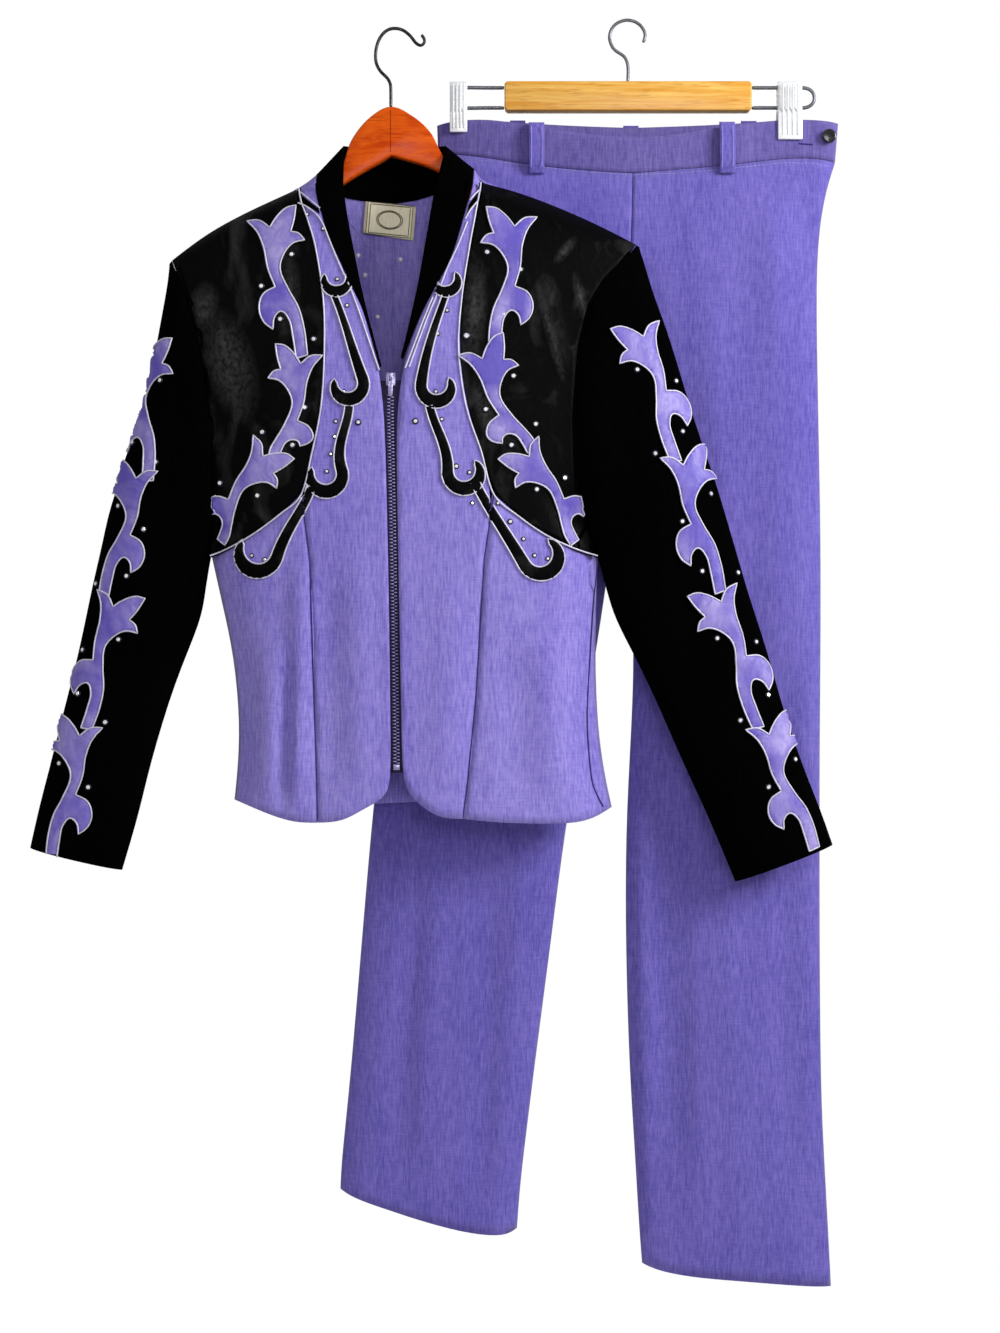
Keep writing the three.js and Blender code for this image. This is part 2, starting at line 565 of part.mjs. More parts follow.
// A place on the front half of a sleeve, from the front view.
function sleeveAt(front) {
  const table = sleeveTable(front, -1);
  const edgeMargin = 0.08;
  const acrossOf = (row, x) => (x - row.outerX) / (row.innerX - row.outerX);
  const heightOf = (row, x) => mix(row.outerZ, row.innerZ, clamp(acrossOf(row, x), 0, 1));
  const rowBetween = (above, below, t) => Object.fromEntries(
    Object.keys(above).map((key) => [key, mix(above[key], below[key], t)]));
  return (x, z) => {
    let found = table[0];
    for (let k = 1; k < table.length; k += 1) {
      const top = heightOf(table[k - 1], x);
      const bottom = heightOf(table[k], x);
      if (z <= top) found = rowBetween(table[k - 1], table[k], clamp((z - top) / (bottom - top), 0, 1));
    }
    const across = clamp(acrossOf(found, x), edgeMargin, 1 - edgeMargin);
    const s = Math.acos(1 - 2 * across) / Math.PI;
    return vec(mix(found.outerX, found.innerX, across), -(HALF_SEAM + sleeveDepth(found, s)), z);
  };
}

// The clips pinch the waist flat where they hold it.
function pinch(x, z) {
  return CLIPS.reduce((left, clip) => {
    const near = Math.exp(-(((x - clip.x) / 24) ** 4)) * Math.exp(-(((z + 80) / 55) ** 4));
    return left * (1 - 0.7 * near);
  }, 1);
}

function legDepth(row, s, x, z) {
  const ownBulge = row.bulge * Math.sin(Math.PI * s) ** 0.8;
  const fromWaist = row.inner * Math.sin((Math.PI * s) / 2) ** 0.5;
  return (ownBulge + fromWaist) * pinch(x, z);
}

function trouserPanel(side, face) {
  const toSide = side === 'right' ? -1 : 1;
  const seamZ = (x) => along(WAIST_SEAM, 'x', 'z', x) - SEAM / 2;
  const hemZ = (x) => along(HEMS[side], 'x', 'z', x);
  const table = LEGS[side].map((row, i) => ({
    ...row,
    innerX: row.innerX + (toSide * SEAM) / 2,
    zAt: i === 0 ? seamZ : i === LEGS[side].length - 1 ? hemZ : null,
  }));
  return wall(halfTube(table, face, TROUSER_Y, legDepth), CLOTH, face, TROUSER_Y);
}

function waistbandGrid(face) {
  const name = face < 0 ? 'front' : 'back';
  const column = (side, s) => {
    const row = LEGS[side][0];
    const across = (1 - Math.cos(Math.PI * s)) / 2;
    const edge = side === 'right' ? WAIST_TOP[name][0].x : WAIST_TOP[name].at(-1).x;
    const low = mix(row.outerX, row.innerX, across);
    const high = mix(edge, row.innerX, across);
    const bandRow = { ...row, inner: WAIST_DEPTH };
    const depth = (x, z) => TROUSER_Y + face * (HALF_SEAM + legDepth(bandRow, s, x, z));
    return [1, 0.5, 0].map((t) => {
      const x = mix(low, high, t);
      const z = mix(along(WAIST_SEAM, 'x', 'z', x) + SEAM / 2, along(WAIST_TOP[name], 'x', 'z', x), t);
      return vec(x, depth(x, z), z);
    });
  };
  const toCentre = steps(6);
  const fromCentre = toCentre.slice(0, -1).reverse();
  const columns = [...toCentre.map((s) => column('right', s)), ...fromCentre.map((s) => column('left', s))];
  return [0, 1, 2].map((i) => columns.map((points) => points[i]));
}

const waistbandAt = (face) => (x) => {
  const grid = waistbandGrid(face);
  const line = grid[1].map((p) => ({ x: p.x, y: p.y }));
  return along(line, 'x', 'y', x);
};

function beltLoop(x, face) {
  const loop = { width: 15, thick: 2, stand: 7, above: 3, below: 8 };
  const surface = waistbandAt(face)(x);
  const slope = waistbandAt(face)(x + loop.width / 2) - waistbandAt(face)(x - loop.width / 2);
  const foot = Math.abs(slope) / 2 + LIFT;
  const top = along(WAIST_TOP[face < 0 ? 'front' : 'back'], 'x', 'z', x) + loop.above;
  const bottom = along(WAIST_SEAM, 'x', 'z', x) - loop.below;
  const outline = steps(8).map((t) => {
    const angle = Math.PI * t;
    return { out: foot + (loop.stand - loop.thick) * Math.sin(angle) ** 0.4, z: mix(top, bottom, t) };
  });
  const strip = (extra) => outline.map((point) => [-1, 0, 1].map((across) => (
    vec(x + (across * loop.width) / 2, surface + face * (point.out + extra), point.z))));
  return solidBetween(strip(loop.thick), strip(0));
}

// ---------------------------------------------------------------- applied leather
// A ribbon whose rows cross a spine, laid on a surface given in the front view.
function ribbon(spine, surfaceAt) {
  const normalAt = (x, z) => {
    const d = 1.5;
    const across = surfaceAt(x + d, z).sub(surfaceAt(x - d, z));
    const down = surfaceAt(x, z - d).sub(surfaceAt(x, z + d));
    const normal = across.cross(down).normalize();
    return normal.y > 0 ? normal.negate() : normal;
  };
  const grids = [[], []];
  spine.forEach((point, k) => {
    const before = spine[Math.max(k - 1, 0)];
    const after = spine[Math.min(k + 1, spine.length - 1)];
    const direction = new THREE.Vector2(after.x - before.x, after.z - before.z).normalize();
    const rowPoints = [-point.toRight, 0, point.toLeft].map((offset) => {
      const x = point.x - direction.y * offset;
      const z = point.z + direction.x * offset;
      return { base: surfaceAt(x, z), normal: normalAt(x, z) };
    });
    [LIFT + LEATHER, LIFT].forEach((height, layer) => {
      grids[layer].push(rowPoints.map(({ base, normal }) => base.clone().addScaledVector(normal, height)));
    });
  });
  return solidBetween(grids[0], grids[1]);
}

// Twice as many rows as the table, with the widths eased between them.
function finerSpine(table) {
  return steps((table.length - 1) * 2).map((t) => {
    const place = t * (table.length - 1);
    const k = Math.min(Math.floor(place), table.length - 2);
    const between = (key) => mix(table[k][key], table[k + 1][key], place - k);
    return Object.fromEntries(VINE_COLUMNS.map((key) => [key, between(key)]));
  });
}

function scrollSpine(scroll) {
  const centre = [scroll.hookX, scroll.hookZ];
  const radians = (degrees) => (degrees * Math.PI) / 180;
  const onHook = (t) => {
    const angle = radians(scroll.from + scroll.sweep * t);
    const radius = scroll.radius * mix(1, 0.8, t);
    return [centre[0] + radius * Math.cos(angle), centre[1] + radius * Math.sin(angle)];
  };
  const join = onHook(0);
  const hasStem = Math.hypot(join[0] - scroll.startX, join[1] - scroll.startZ) > 12;
  const stem = hasStem ? steps(5).slice(0, -1).map((t) => {
    const bow = scroll.bow * Math.sin(Math.PI * t);
    return [mix(scroll.startX, join[0], t) + bow * 0.7, mix(scroll.startZ, join[1], t)];
  }) : [];
  const line = [...stem, ...steps(7).map(onHook)];
  return line.map(([x, z], k) => {
    const t = k / (line.length - 1);
    const half = t < 0.6 ? mix(SCROLL_WIDTH.start, SCROLL_WIDTH.middle, t / 0.6)
      : mix(SCROLL_WIDTH.middle, SCROLL_WIDTH.end, (t - 0.6) / 0.4);
    return { x, z, toRight: half, toLeft: half };
  });
}

// ---------------------------------------------------------------- zip
const ZIP = { top: -330, bottom: -704, tape: 1, under: 3.5 };
const zipLine = (side) => [[side === 'right' ? -7.6 : 5.2, -340], ...FRONTS[side].zipEdge]
  .map(([x, z]) => ({ x, z }));
const zipCentre = (z) => (along(zipLine('right'), 'z', 'x', z) + along(zipLine('left'), 'z', 'x', z)) / 2;

function zipTape(side) {
  const outward = side === 'right' ? -1 : 1;
  const heights = steps(12).map((t) => mix(ZIP.top - 8, ZIP.bottom, t));
  const layer = (depth) => heights.map((z) => [0, 0.5, 1].map((s) => {
    const start = zipCentre(z) + outward * 0.2;
    const end = along(zipLine(side), 'z', 'x', z) + outward * ZIP.under;
    const x = mix(start, end, s);
    return vec(x, torsoAt(-1)(x, z).y + CLOTH + LIFT + depth, z);
  }));
  return solidBetween(layer(0), layer(ZIP.tape));
}

// Slider body with the arch that the pull tab hangs from.
const SLIDER = { z: -335, width: 8.5, above: 4, below: 8, depth: 3, archWidth: 1.8, archGap: 2.6,
  archThick: 1 };
// The pull is a flat plate; the strip above its hole is the bar that turns in the arch.
const PULL = { width: 5.4, thick: 1.3, bar: 1.4, hole: 3.8, holeWidth: 2.6, length: 20 };
const sliderX = () => zipCentre(SLIDER.z);
const sliderFace = () => torsoAt(-1)(sliderX(), SLIDER.z - 4).y + CLOTH + LIFT - 0.4 - SLIDER.depth;
const pullAxis = () => vec(sliderX(), sliderFace() - SLIDER.archGap / 2, SLIDER.z);

const outlineShape = (points) => new THREE.Shape(points.map(([u, v]) => new THREE.Vector2(u, v)));

function extrudedAlongX(outline, width, centreX) {
  const geometry = new THREE.ExtrudeGeometry(outlineShape(outline), { depth: width, bevelEnabled: false });
  const turn = new THREE.Matrix4().set(0, 0, 1, centreX - width / 2, 1, 0, 0, 0, 0, 1, 0, 0, 0, 0, 0, 1);
  return geometry.applyMatrix4(turn);
}

function extrudedAlongY(shape, thickness, middleY, curveSegments = 6) {
  const geometry = new THREE.ExtrudeGeometry(shape, { depth: thickness, bevelEnabled: false, curveSegments });
  return geometry.rotateX(Math.PI / 2).translate(0, middleY + thickness / 2, 0);
}

function sliderGeometry() {
  const face = sliderFace();
  const { z, archGap, archThick } = SLIDER;
  const front = face - archGap - archThick;
  const body = new THREE.BoxGeometry(SLIDER.width, SLIDER.depth, SLIDER.above + SLIDER.below);
  body.translate(sliderX(), face + SLIDER.depth / 2, z + (SLIDER.above - SLIDER.below) / 2);
  const arch = [[face + 0.5, z + 3.2], [front + 0.8, z + 3.2], [front, z + 2.4], [front, z - 2.6],
    [front + archThick, z - 2.6], [front + archThick, z + 1.8], [face + 0.5, z + 1.8]];
  return joined([body, extrudedAlongX(arch, SLIDER.archWidth, sliderX())]);
}

function pullGeometry() {
  const half = PULL.width / 2;
  const top = PULL.bar / 2;
  const end = top - PULL.length;
  const shape = new THREE.Shape();
  shape.moveTo(-half, top);
  shape.lineTo(-half * 0.7, end + half);
  shape.absarc(0, end + half, half * 0.7, Math.PI, 2 * Math.PI, false);
  shape.lineTo(half, top);
  shape.closePath();
  const hole = new THREE.Path();
  hole.moveTo(-PULL.holeWidth / 2, -top);
  hole.lineTo(PULL.holeWidth / 2, -top);
  hole.lineTo(PULL.holeWidth / 2, -top - PULL.hole);
  hole.lineTo(-PULL.holeWidth / 2, -top - PULL.hole);
  hole.closePath();
  shape.holes.push(hole);
  const axis = pullAxis();
  return extrudedAlongY(shape, PULL.thick, 0, 4).translate(axis.x, axis.y, axis.z);
}

function bottomStop() {
  const size = { width: 6, depth: 2, height: 5 };
  const z = ZIP.bottom + 5;
  const x = zipCentre(z);
  const face = torsoAt(-1)(x, z).y + CLOTH + LIFT;
  return new THREE.BoxGeometry(size.width, size.depth, size.height)
    .translate(x, face - 0.4 - size.depth / 2, z);
}

// ---------------------------------------------------------------- hard pieces
const BUTTON = { x: 419.5, z: -91, radius: 7.2, thick: 3.4 };

function buttonGeometry() {
  const nearest = Math.min(...[-1, 0, 1].map((k) => waistbandAt(-1)(BUTTON.x + k * BUTTON.radius)));
  const back = nearest - LIFT;
  return new THREE.CylinderGeometry(BUTTON.radius, BUTTON.radius * 0.9, BUTTON.thick, 20)
    .translate(BUTTON.x, back - BUTTON.thick / 2, BUTTON.z);
}

const jacketWood = () => extrudedAlongY(outlineShape(WOOD_OUTLINE), WOOD_THICK, 0);

function wire(route, middleY, radius, stepCount) {
  const curve = new THREE.CatmullRomCurve3(route.map(([x, z]) => vec(x, middleY, z)), false, 'centripetal');
  const section = new THREE.Shape();
  section.absarc(0, 0, radius, 0, 2 * Math.PI, false);
  return new THREE.ExtrudeGeometry(section, { steps: stepCount, extrudePath: curve, curveSegments: 3 });
}

const BAR = { left: 105, right: 345, top: -37, bottom: -65.5, depth: 14, corner: 4 };

function trouserBar() {
  const shape = new THREE.Shape();
  const { left, right, top, bottom, corner } = BAR;
  shape.moveTo(left + corner, bottom);
  shape.lineTo(right - corner, bottom);
  shape.absarc(right - corner, bottom + corner, corner, -Math.PI / 2, 0, false);
  shape.lineTo(right, top - corner);
  shape.absarc(right - corner, top - corner, corner, 0, Math.PI / 2, false);
  shape.lineTo(left + corner, top);
  shape.absarc(left + corner, top - corner, corner, Math.PI / 2, Math.PI, false);
  shape.lineTo(left, bottom + corner);
  shape.absarc(left + corner, bottom + corner, corner, Math.PI, 1.5 * Math.PI, false);
  return extrudedAlongY(shape, BAR.depth, TROUSER_Y, 3);
}

// Each pair of rods is one wire bent into a long loop, with its open end at the wooden bar.
const RODS = { upper: -42, lower: -61.5, ends: { right: 66, left: 397 } };

function rodLoop(side) {
  const outward = side === 'right' ? -1 : 1;
  const start = side === 'right' ? BAR.left - 0.3 : BAR.right + 0.3;
  const end = RODS.ends[side];
  const radius = (RODS.upper - RODS.lower) / 2;
  const middle = (RODS.upper + RODS.lower) / 2;
  const halfWay = (start + end) / 2;
  const bend = steps(6).map((t) => {
    const angle = Math.PI * t;
    return [end + outward * radius * Math.sin(angle), middle + radius * Math.cos(angle)];
  });
  const route = [[start, RODS.upper], [halfWay, RODS.upper], ...bend,
    [halfWay, RODS.lower], [start, RODS.lower]];
  return wire(route, TROUSER_Y, ROD, 26);
}

// A clip is an upside-down U: it hangs on the upper rod and its jaws hold both layers of the waist.
function clipGeometry(clip) {
  const wallThick = 2.6;
  const channel = ROD + 0.7;
  const jaw = 5.6;
  const roof = RODS.upper + ROD + 0.4;
  const shoulder = -64.5;
  const half = [[channel, roof], [channel, shoulder], [jaw, shoulder - 5], [jaw, clip.foot],
    [jaw + wallThick, clip.foot], [jaw + wallThick, shoulder - 4], [channel + wallThick, shoulder + 3],
    [channel + wallThick, roof + 1], [channel, roof + 3.4]];
  const mirrored = half.map(([y, z]) => [-y, z]).reverse();
  const outline = [...half, ...mirrored].map(([y, z]) => [y + TROUSER_Y, z]);
  return extrudedAlongX(outline, clip.width, clip.x);
}

// ---------------------------------------------------------------- joining and assembly
function asSolid(geometry) {
  const bare = new THREE.BufferGeometry();
  bare.setAttribute('position', geometry.getAttribute('position').clone());
  if (geometry.index) bare.setIndex(Array.from(geometry.index.array));
  const merged = mergeVertices(bare, 1e-4);
  return new wasm.Manifold(new wasm.Mesh({
    numProp: 3,
    vertProperties: new Float32Array(merged.getAttribute('position').array),
    triVerts: new Uint32Array(merged.index.array),
  }));
}

function joined(geometries) {
  const whole = geometries.map(asSolid).reduce((sum, solid) => sum.add(solid));
  const mesh = whole.getMesh();
  const geometry = new THREE.BufferGeometry();
  geometry.setAttribute('position', new THREE.Float32BufferAttribute(Array.from(mesh.vertProperties), 3));
  geometry.setIndex(Array.from(mesh.triVerts));
  return geometry;
}

const suit = new THREE.Group();

function add(name, geometry, material) {
  const mesh = new THREE.Mesh(geometry, new THREE.MeshStandardMaterial(COLOURS[material]));
  mesh.name = name;
  suit.add(mesh);
}

for (const side of ['right', 'left']) {
  const front = FRONTS[side];
  add(`front_yoke_${side}`, frontYoke(front), 'leatherBlack');
  add(`centre_front_${side}`, centreFront(front), 'suiting');
  add(`side_front_${side}`, sideFront(front, side), 'suiting');
  add(`back_${side}`, backPanel(front, side), 'suiting');
  add(`sleeve_${side}_front`, sleeveHalf(front, -1), 'clothBlack');
  add(`sleeve_${side}_back`, sleeveHalf(front, 1), 'clothBlack');
  add(`collar_front_${side}`, frontCollar(front), 'clothBlack');
  add(`zip_tape_${side}`, zipTape(side), 'zipTape');
  add(`vine_chest_${side}`, ribbon(finerSpine(CHEST_VINES[side]), torsoAt(-1)), 'leatherPurple');
  add(`vine_sleeve_${side}`, ribbon(finerSpine(SLEEVE_VINES[side]), sleeveAt(front)), 'leatherPurple');
  for (const scroll of SCROLLS[side]) {
    add(`scroll_${scroll.name}_${side}`, ribbon(scrollSpine(scroll), torsoAt(-1)), 'leatherBlack');
  }
  add(`trouser_front_${side}`, trouserPanel(side, -1), 'suiting');
  add(`trouser_back_${side}`, trouserPanel(side, 1), 'suiting');
  add(`rod_loop_${side}`, rodLoop(side), 'chrome');
}
add('collar_back', backCollar(), 'clothBlack');
add('neck_label', neckLabel(), 'label');
add('zip_slider', sliderGeometry(), 'zipMetal');
add('zip_pull', pullGeometry(), 'zipMetal');
add('zip_bottom_stop', bottomStop(), 'zipMetal');
add('waistband_front', wall(waistbandGrid(-1), BAND, -1, TROUSER_Y), 'suiting');
add('waistband_back', wall(waistbandGrid(1), BAND, 1, TROUSER_Y), 'suiting');
for (const loop of LOOPS) add(`belt_loop_${loop.name}`, beltLoop(loop.x, loop.face), 'suiting');
add('waist_button', buttonGeometry(), 'button');
add('jacket_hanger_wood', jacketWood(), 'cherry');
add('jacket_hanger_hook', wire(JACKET_HOOK, 0, HOOK_WIRE, 40), 'darkWire');
add('trouser_hanger_bar', trouserBar(), 'honey');
add('trouser_hanger_hook', wire(TROUSER_HOOK, TROUSER_Y, HOOK_WIRE, 28), 'chrome');
for (const clip of CLIPS) add(`trouser_clip_${clip.name}`, clipGeometry(clip), 'clip');

export default suit;
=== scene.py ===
# %% [markdown]
# # A western suit on its two hangers
# The jacket and the trousers are already modelled as plain solids that share one frame, in metres.
# This lesson loads those solids, and gives each one the look of cloth, leather, wood or wire.
# Nothing is moved: a piece that takes a solid's place is made where that solid is.

# %% Load the frame
import json
import math

import bmesh
import bpy
from mathutils import Matrix, Vector
from mathutils.bvhtree import BVHTree
from mathutils.kdtree import KDTree


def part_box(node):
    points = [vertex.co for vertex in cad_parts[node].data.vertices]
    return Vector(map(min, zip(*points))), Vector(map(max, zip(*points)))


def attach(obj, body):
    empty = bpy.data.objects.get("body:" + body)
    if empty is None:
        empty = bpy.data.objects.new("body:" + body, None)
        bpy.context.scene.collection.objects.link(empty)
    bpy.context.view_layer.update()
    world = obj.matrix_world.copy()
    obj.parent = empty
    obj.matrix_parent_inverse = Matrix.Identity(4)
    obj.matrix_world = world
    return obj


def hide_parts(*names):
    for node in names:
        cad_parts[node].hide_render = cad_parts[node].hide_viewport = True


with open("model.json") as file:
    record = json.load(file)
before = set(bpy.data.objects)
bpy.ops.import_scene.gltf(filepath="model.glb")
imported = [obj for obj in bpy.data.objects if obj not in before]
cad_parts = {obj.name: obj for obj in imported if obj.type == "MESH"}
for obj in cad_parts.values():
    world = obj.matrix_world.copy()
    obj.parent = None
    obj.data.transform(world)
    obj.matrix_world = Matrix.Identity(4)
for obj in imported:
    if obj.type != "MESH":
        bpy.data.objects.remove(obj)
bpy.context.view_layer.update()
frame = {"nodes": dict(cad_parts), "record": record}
scene = bpy.context.scene
MM = 0.001
print("solids loaded:", len(frame["nodes"]))

# %% [markdown]
# ## Camera and light
# The suit is seen square on from 1.9 m, at the height of the jacket's hem. The sensor's long side is
# upright, so the lens is given for the height. Four large soft lamps and a pale sky act as a studio.
# The sky is brighter to the camera than to the cloth, so the ground behind stays white and black
# leather stays black.

# %% Camera, world, lamps and floor
CAMERA_PLACE = (0.1007, -1.9, -0.6047)
camera_data = bpy.data.cameras.new("studio_camera")
camera_data.sensor_fit = "VERTICAL"
camera_data.sensor_height = 36
camera_data.lens = 54
camera = bpy.data.objects.new("studio_camera", camera_data)
camera.location = CAMERA_PLACE
camera.rotation_euler = (math.radians(90), 0, 0)
scene.collection.objects.link(camera)
scene.camera = camera
scene.view_settings.view_transform = "Standard"

world = bpy.data.worlds.new("studio_sky")
scene.world = world
world.use_nodes = True
sky = world.node_tree
sky.nodes.clear()
seen_sky = sky.nodes.new("ShaderNodeBackground")
seen_sky.inputs["Color"].default_value = (1, 1, 1, 1)
seen_sky.inputs["Strength"].default_value = 1.0
soft_sky = sky.nodes.new("ShaderNodeBackground")
soft_sky.inputs["Color"].default_value = (0.97, 0.98, 1, 1)
soft_sky.inputs["Strength"].default_value = 0.36
which_ray = sky.nodes.new("ShaderNodeLightPath")
either_sky = sky.nodes.new("ShaderNodeMixShader")
sky_out = sky.nodes.new("ShaderNodeOutputWorld")
sky.links.new(which_ray.outputs["Is Camera Ray"], either_sky.inputs["Fac"])
sky.links.new(soft_sky.outputs["Background"], either_sky.inputs[1])
sky.links.new(seen_sky.outputs["Background"], either_sky.inputs[2])
sky.links.new(either_sky.outputs["Shader"], sky_out.inputs["Surface"])


def soft_lamp(name, place, aim, size, watts):
    data = bpy.data.lights.new(name, "AREA")
    data.shape = "SQUARE"
    data.size = size
    data.energy = watts
    lamp = bpy.data.objects.new(name, data)
    lamp.location = place
    lamp.rotation_euler = (Vector(aim) - Vector(place)).to_track_quat("-Z", "Y").to_euler()
    scene.collection.objects.link(lamp)


soft_lamp("lamp_left", (-1.4, -1.7, 0.5), (0.0, 0, -0.5), 1.0, 4)
soft_lamp("lamp_front", (0.3, -2.5, 0.1), (0.0, 0, -0.4), 0.7, 12)
soft_lamp("lamp_right", (1.7, -0.95, 0.3), (0.0, 0, -0.5), 0.7, 38)
soft_lamp("lamp_behind", (0.4, 2.2, 0.6), (0.1, 0, -0.6), 1.6, 30)

floor_mesh = bmesh.new()
bmesh.ops.create_circle(floor_mesh, cap_ends=True, segments=64, radius=0.95)
bmesh.ops.translate(floor_mesh, verts=floor_mesh.verts, vec=(0.1, 0.05, -1.62))
floor_data = bpy.data.meshes.new("studio_floor")
floor_mesh.to_mesh(floor_data)
floor_mesh.free()
floor = bpy.data.objects.new("studio_floor", floor_data)
scene.collection.objects.link(floor)
print("camera at", CAMERA_PLACE)

# %% [markdown]
# ## Finishes
# A finish is a small graph of shader nodes. Effects that several finishes share, such as the heathered
# weave with its bands of painted fold shade, the grain and painted sheen of leather and the grain of wood,
# are node groups: each is built once, and every material sets its own colours on it. The shader itself
# stays in the material.


# %% Helpers for node graphs
def add_node(tree, kind, into=None, **settings):
    made = tree.nodes.new("ShaderNode" + kind)
    for key, value in settings.items():
        setattr(made, key, value)
    for socket, value in (into or {}).items():
        if isinstance(value, bpy.types.NodeSocket):
            tree.links.new(value, made.inputs[socket])
        else:
            made.inputs[socket].default_value = value
    return made


def new_group(name, inputs, outputs):
    tree = bpy.data.node_groups.new(name, "ShaderNodeTree")
    for label, kind, value in inputs:
        made = tree.interface.new_socket(name=label, in_out="INPUT", socket_type="NodeSocket" + kind)
        made.default_value = value
    for label, kind in outputs:
        tree.interface.new_socket(name=label, in_out="OUTPUT", socket_type="NodeSocket" + kind)
    return tree, tree.nodes.new("NodeGroupInput"), tree.nodes.new("NodeGroupOutput")


def noise(tree, stretch, turn=(0, 0, 0), detail=3.0, distortion=0.0):
    place = add_node(tree, "TexCoord")
    laid = add_node(tree, "Mapping", {"Vector": place.outputs["Object"], "Scale": stretch, "Rotation": turn})
    made = add_node(tree, "TexNoise", {"Vector": laid.outputs["Vector"], "Scale": 1.0, "Detail": detail,
                                       "Distortion": distortion})
    return made.outputs["Fac"]


def contrast(tree, value, low, high, to_low=0.0, to_high=1.0):
    made = add_node(tree, "MapRange", {"Value": value, "From Min": low, "From Max": high,
                                       "To Min": to_low, "To Max": to_high})
    return made.outputs["Result"]


def mixed(tree, factor, first, second):
    made = add_node(tree, "Mix", data_type="RGBA")
    for socket, value in ((0, factor), (6, first), (7, second)):
        if isinstance(value, bpy.types.NodeSocket):
            tree.links.new(value, made.inputs[socket])
        else:
            made.inputs[socket].default_value = value
    return made.outputs[2]


def sums(tree, first, second, share):
    made = add_node(tree, "Math", {0: second, 1: share, 2: first}, operation="MULTIPLY_ADD")
    return made.outputs["Value"]


COLOUR = ("Color", "Color")
HEIGHT = ("Height", "Float")
ROUGH = ("Roughness", "Float")

# %% The heathered weave
weave, weave_in, weave_out = new_group(
    "heathered_weave",
    [("Dark", "Color", (0, 0, 0, 1)), ("Base", "Color", (0, 0, 0, 1)), ("Light", "Color", (1, 1, 1, 1)),
     ("Heather", "Float", 0.5)],
    [COLOUR, HEIGHT])
threads = noise(weave, (620, 620, 75), detail=2.0)
slubs = noise(weave, (90, 90, 640), detail=2.0)
twill = noise(weave, (420, 420, 90), turn=(0, math.radians(34), 0), detail=1.0)
# The cloud makes long upright bands, lighter and darker: partly the cloth's uneven tone, partly painted light and shade
# for long folds.
cloud = noise(weave, (24, 24, 4.5), detail=3.0, distortion=0.5)
yarn = sums(weave, sums(weave, threads, slubs, 0.45), twill, 0.55)
heather = contrast(weave, yarn, 0.72, 1.28)
cloudy = contrast(weave, cloud, 0.36, 0.66)
yarn_mix = mixed(weave, heather, weave_in.outputs["Dark"], weave_in.outputs["Light"])
even_mix = mixed(weave, weave_in.outputs["Heather"], weave_in.outputs["Base"], yarn_mix)
tone_and_fold_shade_bands = mixed(weave, cloudy, weave_in.outputs["Base"], weave_in.outputs["Light"])
weave.links.new(mixed(weave, 0.3, even_mix, tone_and_fold_shade_bands), weave_out.inputs["Color"])
weave.links.new(yarn, weave_out.inputs["Height"])

# %% The grain of leather, with painted sheen and highlight streaks
hide, hide_in, hide_out = new_group(
    "leather_grain_and_sheen",
    [("Base", "Color", (0, 0, 0, 1)), ("Worn and sheen", "Color", (1, 1, 1, 1)), ("Patch low", "Float", 0.45),
     ("Patch high", "Float", 0.7), ("Painted highlight", "Float", 0.0)],
    [COLOUR, ROUGH, HEIGHT])
# Painted highlight streaks, where light would shine along the leather's folds: x, z, half width and half length in
# millimetres, and the lean in degrees.
PAINTED_HIGHLIGHT_STREAKS = [(148, -292, 6, 52, -15), (176, -258, 6, 26, -13), (162, -214, 6, 18, 38), (77, -275, 13, 56, 3),
          (87, -367, 10, 38, -15), (-176, -268, 14, 26, 12), (-152, -322, 26, 60, -16), (-178, -392, 12, 50, 4),
          (-97, -262, 12, 44, 5)]
painted_highlight_here = 0.0
for x, z, half_width, half_length, lean in PAINTED_HIGHLIGHT_STREAKS:
    spot = add_node(hide, "TexCoord")
    aimed = add_node(hide, "Mapping", {
        "Vector": spot.outputs["Object"], "Location": (x * MM, 0, z * MM), "Rotation": (0, math.radians(lean), 0),
        "Scale": (half_width * MM, 1, half_length * MM)}, vector_type="TEXTURE")
    ball = add_node(hide, "TexGradient", {"Vector": aimed.outputs["Vector"]}, gradient_type="SPHERICAL")
    painted_highlight_here = add_node(hide, "Math", {0: ball.outputs["Fac"], 1: painted_highlight_here}, operation="MAXIMUM").outputs["Value"]
# The streaks lighten the leather towards its second colour: a painted highlight, roughened by a fine grit.
painted_highlight_streak = add_node(hide, "Math", {0: painted_highlight_here, 1: hide_in.outputs["Painted highlight"]}, operation="MULTIPLY")
# Mottled patches move the leather towards its second colour: partly real wear, partly painted sheen.
patches = noise(hide, (20, 20, 13), turn=(0, math.radians(-24), 0), detail=5.0, distortion=1.1)
wrinkles = noise(hide, (95, 95, 60), turn=(0, math.radians(25), 0), detail=4.0, distortion=1.6)
pores = noise(hide, (900, 900, 900), detail=1.0)
patch = add_node(hide, "MapRange", {"Value": patches, "From Min": hide_in.outputs["Patch low"],
                                    "From Max": hide_in.outputs["Patch high"]})
mottled = add_node(hide, "Math", {0: patch.outputs["Result"], 1: contrast(hide, wrinkles, 0.3, 0.7, 0.5, 1.0)},
                   operation="MULTIPLY")
grit = noise(hide, (300, 300, 210), turn=(0, math.radians(20), 0), detail=5.0, distortion=0.3)
grainy_highlight = add_node(hide, "Math", {0: painted_highlight_streak.outputs["Value"], 1: contrast(hide, grit, 0.3, 0.72, 0.15, 1.4)},
                  operation="MULTIPLY")
worn_and_sheen_share = add_node(hide, "Math", {0: mottled.outputs["Value"], 1: grainy_highlight.outputs["Value"]}, operation="ADD",
                      use_clamp=True)
hide.links.new(mixed(hide, worn_and_sheen_share.outputs["Value"], hide_in.outputs["Base"], hide_in.outputs["Worn and sheen"]),
               hide_out.inputs["Color"])
